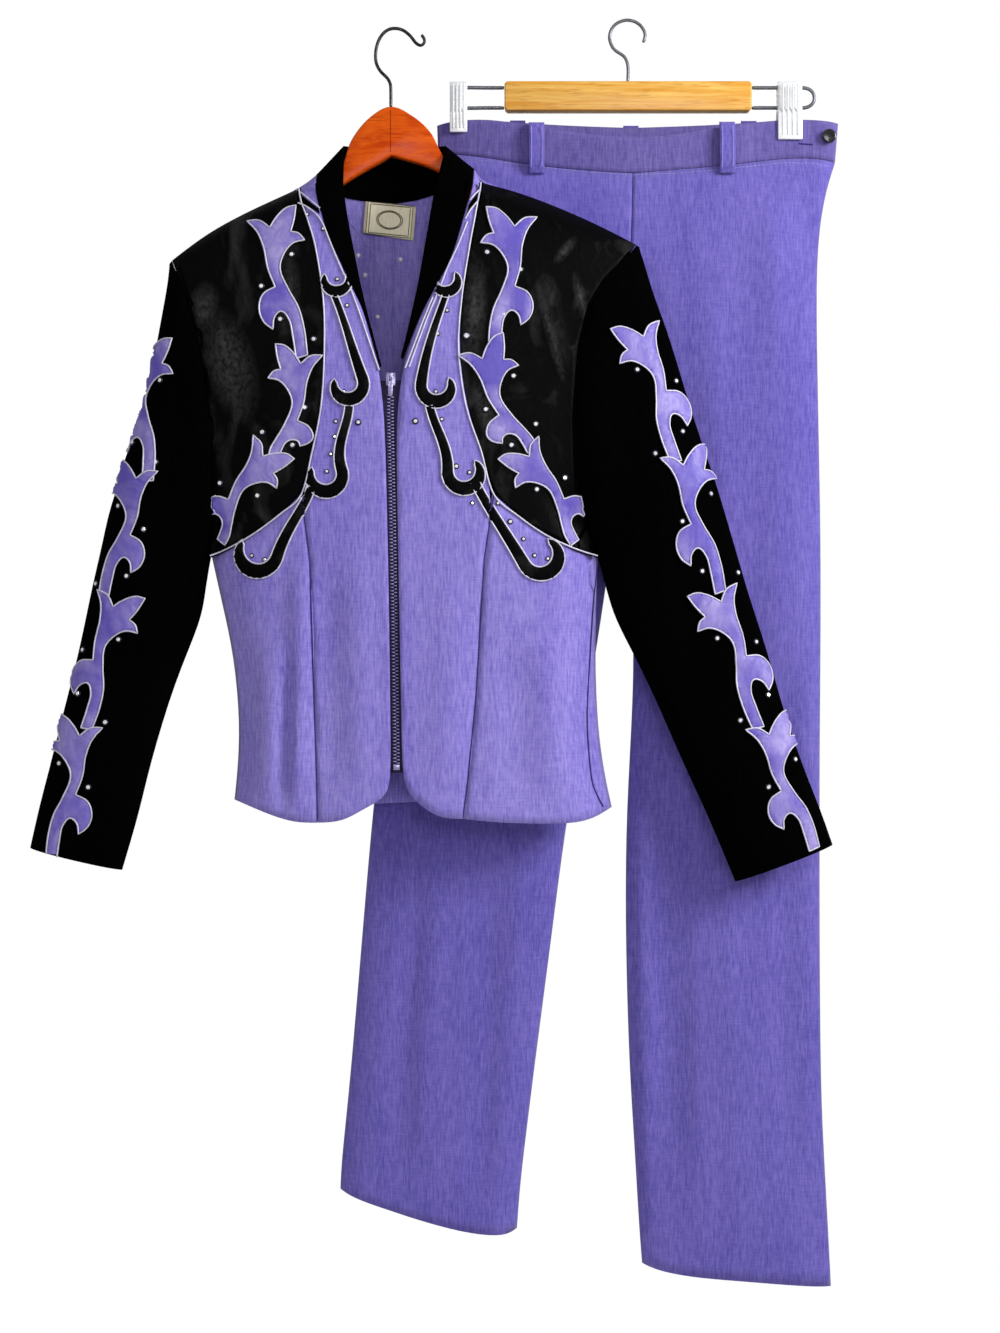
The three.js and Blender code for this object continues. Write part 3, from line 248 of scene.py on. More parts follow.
hide.links.new(contrast(hide, wrinkles, 0.3, 0.75, 0.62, 0.36), hide_out.inputs["Roughness"])
hide.links.new(sums(hide, wrinkles, pores, 0.12), hide_out.inputs["Height"])

# %% The grain of wood and the small marks on hard parts
timber, timber_in, timber_out = new_group(
    "wood_grain",
    [("Dark", "Color", (0, 0, 0, 1)), ("Base", "Color", (0, 0, 0, 1)), ("Light", "Color", (1, 1, 1, 1)),
     ("Stretch", "Vector", (14, 180, 180)), ("Turn", "Vector", (0, 0, 0))],
    [COLOUR, ROUGH, HEIGHT])
timber_place = add_node(timber, "TexCoord")
timber_laid = add_node(timber, "Mapping", {"Vector": timber_place.outputs["Object"],
                                           "Rotation": timber_in.outputs["Turn"],
                                           "Scale": timber_in.outputs["Stretch"]})
rings = add_node(timber, "TexNoise", {"Vector": timber_laid.outputs["Vector"], "Scale": 1.0,
                                      "Detail": 4.0, "Distortion": 1.4}).outputs["Fac"]
flecks = noise(timber, (60, 900, 900), detail=2.0)
rung = mixed(timber, contrast(timber, rings, 0.3, 0.7), timber_in.outputs["Base"], timber_in.outputs["Light"])
timber.links.new(mixed(timber, contrast(timber, flecks, 0.56, 0.74, 0, 0.6), rung, timber_in.outputs["Dark"]),
                 timber_out.inputs["Color"])
timber.links.new(contrast(timber, rings, 0.3, 0.7, 0.22, 0.36), timber_out.inputs["Roughness"])
timber.links.new(sums(timber, rings, flecks, 0.5), timber_out.inputs["Height"])

marks, marks_in, marks_out = new_group(
    "small_marks",
    [("Base", "Color", (0, 0, 0, 1)), ("Dulled", "Color", (1, 1, 1, 1)), ("Low", "Float", 0.2),
     ("High", "Float", 0.4)],
    [COLOUR, ROUGH, HEIGHT])
rubbed = noise(marks, (240, 240, 240), detail=4.0, distortion=0.8)
rub = add_node(marks, "MapRange", {"Value": rubbed, "From Min": 0.35, "From Max": 0.7,
                                   "To Min": marks_in.outputs["Low"], "To Max": marks_in.outputs["High"]})
marks.links.new(mixed(marks, contrast(marks, rubbed, 0.45, 0.75), marks_in.outputs["Base"],
                      marks_in.outputs["Dulled"]), marks_out.inputs["Color"])
marks.links.new(rub.outputs["Result"], marks_out.inputs["Roughness"])
marks.links.new(rubbed, marks_out.inputs["Height"])
print("shared effects:", [g.name for g in bpy.data.node_groups])


# %% One function that puts a group into a material
def tone(red, green, blue):
    """A paint swatch, 0 to 255 as on a colour card, made linear for the shader."""
    line = [(c / 255) / 12.92 if c < 10 else (((c / 255) + 0.055) / 1.055) ** 2.4 for c in (red, green, blue)]
    return (*line, 1)


def finish(name, group, colours, bump, bump_size, **shader_values):
    material = bpy.data.materials.new(name)
    material.use_nodes = True
    tree = material.node_tree
    tree.nodes.clear()
    effect = add_node(tree, "Group", node_tree=group)
    for socket, value in colours.items():
        effect.inputs[socket].default_value = value
    shader = add_node(tree, "BsdfPrincipled")
    for socket, value in shader_values.items():
        shader.inputs[socket.replace("_", " ")].default_value = value
    rise = add_node(tree, "Bump", {"Height": effect.outputs["Height"], "Strength": bump,
                                   "Distance": bump_size})
    tree.links.new(effect.outputs["Color"], shader.inputs["Base Color"])
    tree.links.new(rise.outputs["Normal"], shader.inputs["Normal"])
    if "Roughness" in effect.outputs and "Roughness" not in shader_values:
        tree.links.new(effect.outputs["Roughness"], shader.inputs["Roughness"])
    out = add_node(tree, "OutputMaterial")
    tree.links.new(shader.outputs["BSDF"], out.inputs["Surface"])
    return material


SUITING = {"Roughness": 0.86, "Sheen_Weight": 0.18, "Sheen_Roughness": 0.5, "Specular_IOR_Level": 0.2}
LOOKS = {
    "suiting_jacket": finish("suiting_jacket", weave, {
        "Dark": tone(94, 80, 176), "Base": tone(124, 110, 198), "Light": tone(160, 148, 222),
        "Heather": 0.8}, 0.45, 0.0006, **SUITING),
    "suiting_trousers": finish("suiting_trousers", weave, {
        "Dark": tone(70, 60, 148), "Base": tone(95, 84, 170), "Light": tone(124, 112, 196),
        "Heather": 0.8}, 0.45, 0.0006, **SUITING),
    # The black leather's grey second colour is partly scuffing and partly painted sheen; its streak strength sets the
    # painted highlights.
    "leather_black": finish("leather_black", hide, {
        "Base": tone(2, 2, 3), "Worn and sheen": tone(70, 69, 69), "Patch low": 0.54, "Patch high": 1.0,
        "Painted highlight": 0.62}, 0.5, 0.0009, Specular_IOR_Level=0.04),
    "cloth_black": finish("cloth_black", weave, {
        "Dark": tone(0, 0, 0), "Base": tone(1, 1, 1), "Light": tone(4, 4, 5), "Heather": 0.6},
        0.3, 0.0005, Roughness=1.0, Specular_IOR_Level=0.015),
    "leather_purple": finish("leather_purple", hide, {
        "Base": tone(96, 82, 182), "Worn and sheen": tone(172, 158, 216), "Patch low": 0.38, "Patch high": 0.66},
        0.4, 0.0008, Specular_IOR_Level=0.35),
    "label": finish("label", weave, {
        "Dark": tone(176, 160, 116), "Base": tone(250, 240, 206), "Light": tone(255, 252, 232),
        "Heather": 0.35}, 0.4, 0.0004, Roughness=0.8, Specular_IOR_Level=0.2),
    "zip_tape": finish("zip_tape", weave, {
        "Dark": tone(20, 15, 32), "Base": tone(34, 27, 54), "Light": tone(58, 48, 86), "Heather": 0.6},
        0.4, 0.0004, Roughness=0.8, Specular_IOR_Level=0.2),
    "zip_metal": finish("zip_metal", marks, {
        "Base": tone(176, 168, 208), "Dulled": tone(130, 122, 170), "Low": 0.25, "High": 0.45},
        0.2, 0.0002, Metallic=0.75),
    "button": finish("button", marks, {
        "Base": tone(10, 10, 12), "Dulled": tone(22, 22, 25), "Low": 0.15, "High": 0.35},
        0.15, 0.0002, Coat_Weight=0.5),
    "wood_cherry": finish("wood_cherry", timber, {
        "Dark": tone(128, 30, 2), "Base": tone(190, 60, 2), "Light": tone(222, 92, 8),
        "Stretch": (22, 90, 90)}, 0.1, 0.0004, Specular_IOR_Level=0.12),
    "wood_honey": finish("wood_honey", timber, {
        "Dark": tone(158, 92, 26), "Base": tone(216, 148, 48), "Light": tone(238, 190, 98),
        "Stretch": (9, 150, 210)}, 0.12, 0.0004, Specular_IOR_Level=0.3),
    "wire_dark": finish("wire_dark", marks, {
        "Base": tone(52, 50, 48), "Dulled": tone(96, 92, 88), "Low": 0.22, "High": 0.42},
        0.2, 0.0002, Metallic=0.9),
    "chrome": finish("chrome", marks, {
        "Base": tone(118, 120, 126), "Dulled": tone(84, 86, 92), "Low": 0.34, "High": 0.44},
        0.1, 0.0001, Metallic=0.7),
    "clip_plastic": finish("clip_plastic", marks, {
        "Base": tone(236, 238, 240), "Dulled": tone(214, 217, 220), "Low": 0.2, "High": 0.35},
        0.15, 0.0002, Coat_Weight=0.3),
}
SILVER_CORD = finish("silver_cord", weave, {
    "Dark": tone(120, 116, 138), "Base": tone(206, 202, 222), "Light": tone(240, 238, 246),
    "Heather": 0.5}, 0.6, 0.0004, Roughness=0.5, Metallic=0.25)
THREAD = finish("stitch_thread", weave, {
    "Dark": tone(120, 112, 190), "Base": tone(158, 150, 218), "Light": tone(184, 178, 232),
    "Heather": 0.4}, 0.4, 0.0003, Roughness=0.7)
# Painted seam shadow: a dark cord colour that stands for the shade in seam grooves and in the buttonhole's slit.
PAINTED_SHADOW_CORD = finish("seam_shadow", weave, {
    "Dark": tone(34, 28, 84), "Base": tone(52, 44, 112), "Light": tone(70, 60, 132),
    "Heather": 0.4}, 0.4, 0.0003, Roughness=0.9, Specular_IOR_Level=0.1)
STONE = finish("cut_stone", marks, {
    "Base": tone(252, 252, 255), "Dulled": tone(176, 172, 196), "Low": 0.05, "High": 0.12},
    0.05, 0.0001, Metallic=0.1, Coat_Weight=1.0)
CLAW = finish("claw_metal", marks, {
    "Base": tone(40, 38, 48), "Dulled": tone(24, 22, 30), "Low": 0.3, "High": 0.5}, 0.1, 0.0001, Metallic=0.5)
# The waistband's finish is the trousers' suiting made darker, as painted shade on the band.
SHADED_BAND_CLOTH = finish("waistband_cloth", weave, {
    "Dark": tone(66, 56, 122), "Base": tone(92, 80, 150), "Light": tone(118, 106, 176),
    "Heather": 0.8}, 0.45, 0.0006, **SUITING)
FLOOR_PAINT = finish("floor_paint", marks, {
    "Base": tone(238, 238, 238), "Dulled": tone(232, 232, 233), "Low": 0.7, "High": 0.8}, 0.05, 0.0003)
floor.data.materials.append(FLOOR_PAINT)
print("finishes:", len(LOOKS) + 5)

# %% [markdown]
# ## Cloth from the solids
# A sewn panel is a thin shell. The solid that stands for it already has its outline and thickness, but
# its faces are flat and few. A copy is merged into one skin, its hard edges are creased, and a
# subdivision surface rounds everything between them. Two half tubes, such as the halves of a sleeve,
# are first joined along the plane where they meet, so the sleeve is one piece.


# %% Copy, join and smooth a solid
def linked(name, mesh):
    piece = bpy.data.objects.new(name, mesh)
    scene.collection.objects.link(piece)
    return piece


def settled(piece):
    """Bakes the piece's modifiers into its mesh."""
    shown = piece.evaluated_get(bpy.context.evaluated_depsgraph_get())
    mesh = bpy.data.meshes.new_from_object(shown)
    piece.modifiers.clear()
    old = piece.data
    piece.data = mesh
    bpy.data.meshes.remove(old)
    return piece


def painted(piece, slot, material=None, body="suit", replaces=()):
    piece.data.materials.clear()
    piece.data.materials.append(material or LOOKS[slot])
    for face in piece.data.polygons:
        face.use_smooth = True
        face.material_index = 0
    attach(piece, body)
    if replaces:
        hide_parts(*replaces)
    return piece


def copied(nodes):
    bm = bmesh.new()
    for node in nodes:
        bm.from_mesh(frame["nodes"][node].data)
    bmesh.ops.remove_doubles(bm, verts=bm.verts, dist=0.02 * MM)
    return bm


def cloth_piece(name, nodes, slot, middle=None, axis=1, levels=2, hard=0.55, joint_crease=0.55, reach=0.62):
    bm = copied(nodes)
    if middle is not None:
        rims = [f for f in bm.faces if all(abs(v.co[axis] - middle) < 0.32 * MM for v in f.verts)]
        bmesh.ops.delete(bm, geom=rims, context="FACES")
        bmesh.ops.remove_doubles(bm, verts=bm.verts, dist=reach * MM)
        open_edges = [e for e in bm.edges if e.is_boundary]
        if open_edges:
            bmesh.ops.bridge_loops(bm, edges=open_edges)
            bmesh.ops.holes_fill(bm, edges=[e for e in bm.edges if e.is_boundary])
        print(name, "open edges", len(open_edges), "after the bridge", sum(e.is_boundary for e in bm.edges))
    bmesh.ops.join_triangles(bm, faces=bm.faces, angle_face_threshold=0.7, angle_shape_threshold=3.1)
    bm.normal_update()
    crease = bm.edges.layers.float.new("crease_edge")
    for edge in bm.edges:
        if len(edge.link_faces) != 2:
            edge[crease] = 1.0
            continue
        turn = edge.link_faces[0].normal.dot(edge.link_faces[1].normal)
        if turn < hard:
            on_joint = middle is not None and all(abs(v.co[axis] - middle) < 0.6 * MM for v in edge.verts)
            edge[crease] = joint_crease if on_joint else 1.0
    mesh = bpy.data.meshes.new(name)
    bm.to_mesh(mesh)
    bm.free()
    piece = linked(name, mesh)
    rounding = piece.modifiers.new("rounding", "SUBSURF")
    rounding.levels = rounding.render_levels = levels
    rounding.boundary_smooth = "PRESERVE_CORNERS"
    settled(piece)
    painted(piece, slot, replaces=nodes)
    return piece


def press_folds(piece, folds, middle, face):
    """Moves one wall of a piece out or in along soft lines: x, z, x, z, width and height, all in mm."""
    for vertex in piece.data.vertices:
        side = (vertex.co.y - middle) * face
        if side <= 0:
            continue
        shift = 0.0
        for x0, z0, x1, z1, width, height in folds:
            start, end = Vector((x0, z0)) * MM, Vector((x1, z1)) * MM
            along = end - start
            place = Vector((vertex.co.x, vertex.co.z)) - start
            t = place.dot(along) / along.length_squared
            away = abs(place.x * along.y - place.y * along.x) / along.length
            fade = max(0.0, min(1.0, 4 * t, 4 * (1 - t)))
            shift += height * MM * fade * fade * (3 - 2 * fade) * math.exp(-((away / (width * MM)) ** 2))
        vertex.co.y += face * shift * min(1.0, side / 0.006)
    piece.data.update()


SIDES = ("right", "left")
BACK_SEAM = -2.0 * MM
TROUSER_MIDDLE = 44.5 * MM
jacket = {}
for side in SIDES:
    jacket["yoke", side] = cloth_piece(f"yoke_{side}", [f"front_yoke_{side}"], "leather_black", levels=3)
    jacket["centre", side] = cloth_piece(f"front_{side}", [f"centre_front_{side}"], "suiting_jacket")
    jacket["side", side] = cloth_piece(f"side_{side}", [f"side_front_{side}"], "suiting_jacket")
    jacket["sleeve", side] = cloth_piece(
        f"sleeve_{side}", [f"sleeve_{side}_front", f"sleeve_{side}_back"], "cloth_black", middle=0.0)
    jacket["collar", side] = cloth_piece(f"lapel_collar_{side}", [f"collar_front_{side}"], "cloth_black")
jacket["back", "both"] = cloth_piece("back_panel", ["back_right", "back_left"], "suiting_jacket",
                                     middle=BACK_SEAM, axis=0, reach=0.05)
jacket["collar", "back"] = cloth_piece("collar_stand", ["collar_back"], "cloth_black")
legs = {
    side: cloth_piece(f"leg_{side}", [f"trouser_front_{side}", f"trouser_back_{side}"], "suiting_trousers",
                      middle=TROUSER_MIDDLE) for side in SIDES}
# The waistband wears the darker copy of the suiting, which paints its shade.
band = painted(cloth_piece("waistband_cloth", ["waistband_front", "waistband_back"], "suiting_trousers",
                           middle=TROUSER_MIDDLE), "suiting_trousers", SHADED_BAND_CLOTH)

# %% [markdown]
# ## Folds
# A hung jacket isn't flat: the fronts fall in a few long soft ridges from the bust to the hem, and the
# trousers keep their pressed creases. Each is a line with a width and a height, and no two are alike.

# %% Folds, given one by one
FRONT_FOLDS = {
    "right": [(-113, -560, -121, -737, 16, 4.2), (-97, -585, -103, -752, 6, -6.4), (-85, -490, -91, -750, 9, 5.4),
              (-138, -590, -134, -732, 10, -2.6), (-58, -500, -56, -742, 12, -2.8), (-34, -470, -30, -735, 13, 2.4)],
    "left": [(110, -570, 118, -745, 16, -3.4), (142, -560, 156, -745, 14, 3.4), (176, -600, 186, -742, 7, -3.6),
             (54, -500, 48, -735, 15, 2.8), (82, -520, 76, -740, 9, -2.0)],
}
YOKE_FOLDS = {
    "right": [(-186, -262, -150, -330, 9, 2.0), (-172, -300, -120, -395, 10, -1.8),
              (-160, -345, -112, -420, 7, 1.6), (-196, -250, -176, -380, 7, -1.6)],
    "left": [(136, -240, 162, -338, 5, 2.6), (152, -235, 178, -330, 8, -1.6),
             (118, -200, 138, -260, 10, 1.2), (170, -300, 150, -440, 12, -1.5)],
}
SLEEVE_FOLDS = {
    "right": [(-205, -330, -180, -480, 12, -2.0), (-262, -520, -205, -560, 9, 2.0),
              (-285, -575, -225, -600, 8, -2.0), (-300, -660, -250, -690, 11, 1.6)],
    "left": [(214, -320, 206, -470, 12, -2.0), (300, -500, 232, -560, 9, 2.0),
             (340, -610, 262, -620, 9, -2.0), (372, -680, 306, -720, 11, 1.6)],
}
LEG_FOLDS = {
    "right": [(55, -500, 20, -1120, 8, 4.2), (98, -720, 72, -1160, 18, -4.6), (26, -800, -4, -1150, 13, -3.8),
              (84, -900, 58, -1165, 8, 3.0), (120, -760, 96, -1150, 9, 2.4)],
    "left": [(302, -140, 330, -1190, 7, 3.8), (258, -420, 270, -1180, 20, -4.8), (372, -520, 380, -1190, 15, -4.2),
             (395, -135, 405, -240, 13, -3.6), (356, -135, 372, -330, 11, 3.4), (286, -620, 296, -1185, 8, 2.8),
             (236, -700, 244, -1180, 8, 3.2), (345, -300, 352, -900, 10, -2.6)],
}
for side in SIDES:
    press_folds(jacket["centre", side], FRONT_FOLDS[side], 0, -1)
    press_folds(jacket["side", side], FRONT_FOLDS[side], 0, -1)
    press_folds(jacket["yoke", side], YOKE_FOLDS[side], 0, -1)
    press_folds(jacket["sleeve", side], SLEEVE_FOLDS[side], 0, -1)
    press_folds(jacket["sleeve", side], SLEEVE_FOLDS[side], 0, 1)
    press_folds(legs[side], LEG_FOLDS[side], TROUSER_MIDDLE, -1)
    press_folds(legs[side], LEG_FOLDS[side], TROUSER_MIDDLE, 1)
print("folds pressed")

# %% [markdown]
# ## Laying leather, cord and stones on the cloth
# Everything sewn on top follows the cloth under it. A flat place on the pattern, given in squares of
# 0.95 mm, is dropped straight back onto the cloth with a ray. Where a sleeve turns away, the place that
# would fall past its edge is folded round to the back, as the real strip is.


# %% Rays onto the cloth
def square(across, down):
    """A place on the pattern's grid, in metres on the suit."""
    return Vector(((across - 394) * 0.95 * MM, (30 - down) * 0.95 * MM))


def surface_of(pieces):
    points, faces = [], []
    for piece in pieces:
        first = len(points)
        points += [v.co.copy() for v in piece.data.vertices]
        faces += [[first + i for i in f.vertices] for f in piece.data.polygons]
    return BVHTree.FromPolygons(points, faces)


FAR = 0.5
chest = surface_of([jacket[part, side] for part in ("yoke", "centre", "side") for side in SIDES])
sleeves = {side: surface_of([jacket["sleeve", side]]) for side in SIDES}


def edge_of(cloth, x, z, outward):
    """How far the place is past the cloth's edge, found by stepping back until a ray meets it."""
    def met(past):
        return cloth.ray_cast(Vector((x - outward * past, -FAR, z)), Vector((0, 1, 0)))[0] is not None

    near = next((count * MM for count in range(80) if met(count * MM)), 0.0)
    off = max(0.0, near - MM)
    for _ in range(5):
        half = (off + near) / 2
        if met(half):
            near = half
        else:
            off = half
    return near


def laid(cloth, place, lift, outward=0):
    x, z = place
    hit, normal, _, _ = cloth.ray_cast(Vector((x, -FAR, z)), Vector((0, 1, 0)))
    if hit is None and outward:
        past = edge_of(cloth, x, z, outward)
        hit, normal, _, _ = cloth.ray_cast(Vector((x - 2 * outward * past, FAR, z)), Vector((0, -1, 0)))
    if hit is None:
        hit, normal, _, _ = cloth.find_nearest(Vector((x, -30 * MM, z)))
    return hit + normal * lift


def flowing(points, step=2.0 * MM):
    """A closed smooth line through the points; a point with a third value is a sharp corner."""
    line, count = [], len(points)
    spots = [Vector(p[:2]) for p in points]
    sharp = [len(p) > 2 for p in points]
    for i in range(count):
        before, start, end, after = (spots[(i + k) % count] for k in (-1, 0, 1, 2))
        span = (end - start).length
        out_way = (end - start) if sharp[i] else (start - before).normalized() + (end - start).normalized()
        in_way = (end - start) if sharp[(i + 1) % count] else (
            (end - start).normalized() + (after - end).normalized())
        out_way = out_way.normalized() * span
        in_way = in_way.normalized() * span
        pieces = max(1, round(span / step))
        for k in range(pieces):
            t = k / pieces
            line.append(start * (2 * t ** 3 - 3 * t ** 2 + 1) + out_way * (t ** 3 - 2 * t ** 2 + t)
                        + end * (3 * t ** 2 - 2 * t ** 3) + in_way * (t ** 3 - t ** 2))
    return line


def cut_leather(bm_all, outline, cloth, lift, outward=0, pitch=4.0 * MM, puff=0.8 * MM):
    """Cuts one flat shape and lays it on the cloth, with its edges rolled down."""
    bm = bmesh.new()
    ring = [bm.verts.new((p.x, 0, p.y)) for p in outline]
    edges = [bm.edges.new((ring[i], ring[(i + 1) % len(ring)])) for i in range(len(ring))]
    bmesh.ops.triangle_fill(bm, use_beauty=True, edges=edges, normal=(0, -1, 0))
    for axis in (0, 2):
        low = min(v.co[axis] for v in bm.verts)
        high = max(v.co[axis] for v in bm.verts)
        for k in range(math.ceil(low / pitch), math.floor(high / pitch) + 1):
            spot, way = [0, 0, 0], [0, 0, 0]
            spot[axis], way[axis] = k * pitch, 1
            bmesh.ops.bisect_plane(bm, geom=bm.verts[:] + bm.edges[:] + bm.faces[:], plane_co=spot,
                                   plane_no=way, dist=0.02 * MM)
    bmesh.ops.remove_doubles(bm, verts=bm.verts, dist=0.15 * MM)
    border = KDTree(len(outline))
    for i, p in enumerate(outline):
        border.insert((p.x, 0, p.y), i)
    border.balance()
    for vert in bm.verts:
        inside = border.find(vert.co)[2]
        rise = lift(vert.co.z) if callable(lift) else lift
        rise += LEATHER_THICK + puff * min(1.0, inside / (2.5 * MM))
        vert.co = laid(cloth, (vert.co.x, vert.co.z), rise, outward)
    bmesh.ops.recalc_face_normals(bm, faces=bm.faces)
    facing = sum((f.normal * f.calc_area() for f in bm.faces), Vector()).y
    if facing > 0:
        bmesh.ops.reverse_faces(bm, faces=bm.faces)
    part = bpy.data.meshes.new("cut")
    bm.to_mesh(part)
    bm.free()
    bm_all.from_mesh(part)
    bpy.data.meshes.remove(part)


def cord_along(name, lines, radius, closed, resolution=2):
    """A round cord along each line, made as a curve and turned into a mesh."""
    curve = bpy.data.curves.new(name, "CURVE")
    curve.dimensions = "3D"
    curve.bevel_depth = radius
    curve.bevel_resolution = resolution
    curve.use_fill_caps = True
    for line in lines:
        spline = curve.splines.new("POLY")
        spline.points.add(len(line) - 1)
        for point, place in zip(spline.points, line):
            point.co = (*place, 1)
        spline.use_cyclic_u = closed
    holder = bpy.data.objects.new(name + "_curve", curve)
    mesh = bpy.data.meshes.new_from_object(holder)
    bpy.data.objects.remove(holder)
    bpy.data.curves.remove(curve)
    mesh.name = name
    return linked(name, mesh)


def from_bm(name, bm, thick=0.0):
    mesh = bpy.data.meshes.new(name)
    bm.to_mesh(mesh)
    bm.free()
    piece = linked(name, mesh)
    if thick:
        wall = piece.modifiers.new("thickness", "SOLIDIFY")
        wall.thickness = thick
        wall.offset = -1
        settled(piece)
    return piece


LEATHER_THICK = 1.0 * MM


CORD_RADIUS = 0.8 * MM
print("rays ready")

# %% [markdown]
# ## The leather vines
# Each vine is a row of the same cut: a three-petalled blossom on a neck, with one curling leaf and a
# stem that slips under the next blossom. The cut is drawn once, and every use of it is mirrored, turned
# and stretched a little. A silver cord is couched all round each cut.

# %% Draw the blossom, leaf and stem once
BLOSSOM = [
    (-28.5, 34, 1), (-17, 34), (-6.5, 26.5, 1), (0, 37), (9, 45.5), (18, 47.5, 1), (16.5, 34), (13.5, 22, 1),
    (20.5, 20.5), (26.5, 14, 1), (15.5, 11), (6.5, 0), (3.5, -12), (11.5, -32), (21, -49), (26.5, -68),
    (29.5, -90, 1), (19, -93, 1), (16, -75), (11.5, -58), (4.5, -52), (-1.5, -57), (-3, -67.5, 1),
    (-11.5, -61), (-16, -49.5), (-12.5, -36.5), (-1, -29.5, 1), (-8, -12), (-12, 8), (-18.5, 23)]
STEM_BEGINS = -45.0


def blossom_outline(across, down, turn, mirror, size, reach):
    """The cut with its neck at a place of the pattern, turned clockwise by so many degrees."""
    neck, lean = square(across, down), math.radians(-turn)
    placed = []
    for u, v, *sharp in BLOSSOM:
        if v < STEM_BEGINS:
            v = STEM_BEGINS + (v - STEM_BEGINS) * (reach + STEM_BEGINS) / (93 + STEM_BEGINS)
        point = Vector((u * mirror, v)) * size * MM
        point.rotate(Matrix.Rotation(lean, 2))
        placed.append((point.x + neck.x, point.y + neck.y, *sharp))
    return flowing(placed)


VINES = {
    "vine_chest_right": (chest, 0, "yoke", [(280, 262, 0, 1, 1.0, 97), (299, 396, -2, -1, 0.94, 66),
                                            (253, 482, 46, 1, 0.92, 66)]),
    "vine_chest_left": (chest, 0, "yoke", [(510, 262, -6, -1, 1.0, 90), (494, 390, -11, 1, 0.97, 70),
                                           (542, 482, -46, -1, 0.9, 70)]),
    "vine_sleeve_right": (sleeves["right"], -1, "sleeve", [
        (148, 386, 12, 1, 0.98, 93), (134, 507, 2, -1, 0.94, 93), (111, 634, 27, 1, 0.96, 94),
        (78, 763, -1, -1, 0.98, 93)]),
    "vine_sleeve_left": (sleeves["left"], 1, "sleeve", [
        (648, 368, -29, -1, 0.97, 96), (688, 495, -3, 1, 0.98, 98), (727, 630, -31, -1, 1.0, 95),
        (776, 760, -7, 1, 0.97, 91)]),
}
sewn_on = {(part, side): [] for part in ("yoke", "sleeve", "centre", "side") for side in SIDES}
for vine, (cloth, outward, part, uses) in VINES.items():
    leather, cords = bmesh.new(), []
    for across, down, turn, mirror, size, reach in uses:
        outline = blossom_outline(across, down, turn, mirror, size, reach)
        neck_z = square(across, down).y

        def lift_here(z, neck_z=neck_z):
            return (0.15 + 1.0 * max(0.0, min(1.0, (z - neck_z) / (12 * MM) + 0.5))) * MM

        cut_leather(leather, outline, cloth, lift_here, outward)
        cords.append([laid(cloth, p, lift_here(p.y) + 1.25 * MM, outward) for p in outline])
    piece = painted(from_bm(f"{vine}_leather", leather, LEATHER_THICK), "leather_purple", replaces=[vine])
    cord = painted(cord_along(f"{vine}_cord", cords, CORD_RADIUS, True), "leather_purple", SILVER_CORD)
    sewn_on[part, vine.split("_")[2]] += [piece, cord]
    print(vine, "cuts", len(uses), "faces", len(piece.data.polygons), "cord", len(cord.data.polygons))

# %% [markdown]
# ## The black scrolls
# Each scroll is a strip of leather that starts as a thin stem, widens, and hooks round to a blunt tip.
# Its middle line is a curve that runs into an arc of a circle, and its edges are set off from that line
# by a width that grows and falls again.


# %% Scrolls
def scroll_outline(start, hook, radius, begin, sweep, bow, widths):
    """Stem from start into an arc round hook. Degrees are from straight right, and sweep has a sign."""
    start, hook = square(*start), square(*hook)
    radius *= MM
    spin = 1 if sweep > 0 else -1

    def on_arc(degrees, r):
        return hook + Vector((math.cos(math.radians(degrees)), math.sin(math.radians(degrees)))) * r

    entry = on_arc(begin, radius)
    inward = Vector((-math.sin(math.radians(begin)), math.cos(math.radians(begin)))) * spin
    span = (entry - start).length
    side_way = Vector((-(entry - start).y, (entry - start).x)).normalized() * bow * MM
    stem = []
    steps = max(4, round(span / (3 * MM)))
    first_pull = (entry - start) / 3 + side_way
    last_pull = entry - inward * span * 0.4
    for k in range(steps):
        t = k / steps
        stem.append(start * (1 - t) ** 3 + (start + first_pull) * 3 * t * (1 - t) ** 2
                    + last_pull * 3 * t * t * (1 - t) + entry * t ** 3)
    turns = max(8, round(abs(sweep) / 14))
    arc = [on_arc(begin + sweep * k / turns, radius * (1 - 0.1 * k / turns)) for k in range(turns + 1)]
    middle = stem + arc
    lengths = [0.0]
    for a, b in zip(middle, middle[1:]):
        lengths.append(lengths[-1] + (b - a).length)
    full = lengths[-1]
    stem_share = lengths[len(stem)] / full
    belly = stem_share + (1 - stem_share) * 0.42
    left, right = [], []
    for i, place in enumerate(middle):
        way = (middle[min(i + 1, len(middle) - 1)] - middle[max(i - 1, 0)]).normalized()
        t = lengths[i] / full
        if t < belly:
            half = widths[0] + (widths[1] - widths[0]) * (t / belly) ** 1.6
        else:
            fall = (t - belly) / (1 - belly)
            half = widths[1] * (1 - fall ** 2.2) + widths[2] * fall ** 2.2
        normal = Vector((-way.y, way.x)) * half * MM / 2
        left.append(place + normal)
        right.append(place - normal)
    tip = middle[-1] + (middle[-1] - middle[-2]).normalized() * widths[2] * 0.7 * MM
    return left + [tip] + right[::-1]


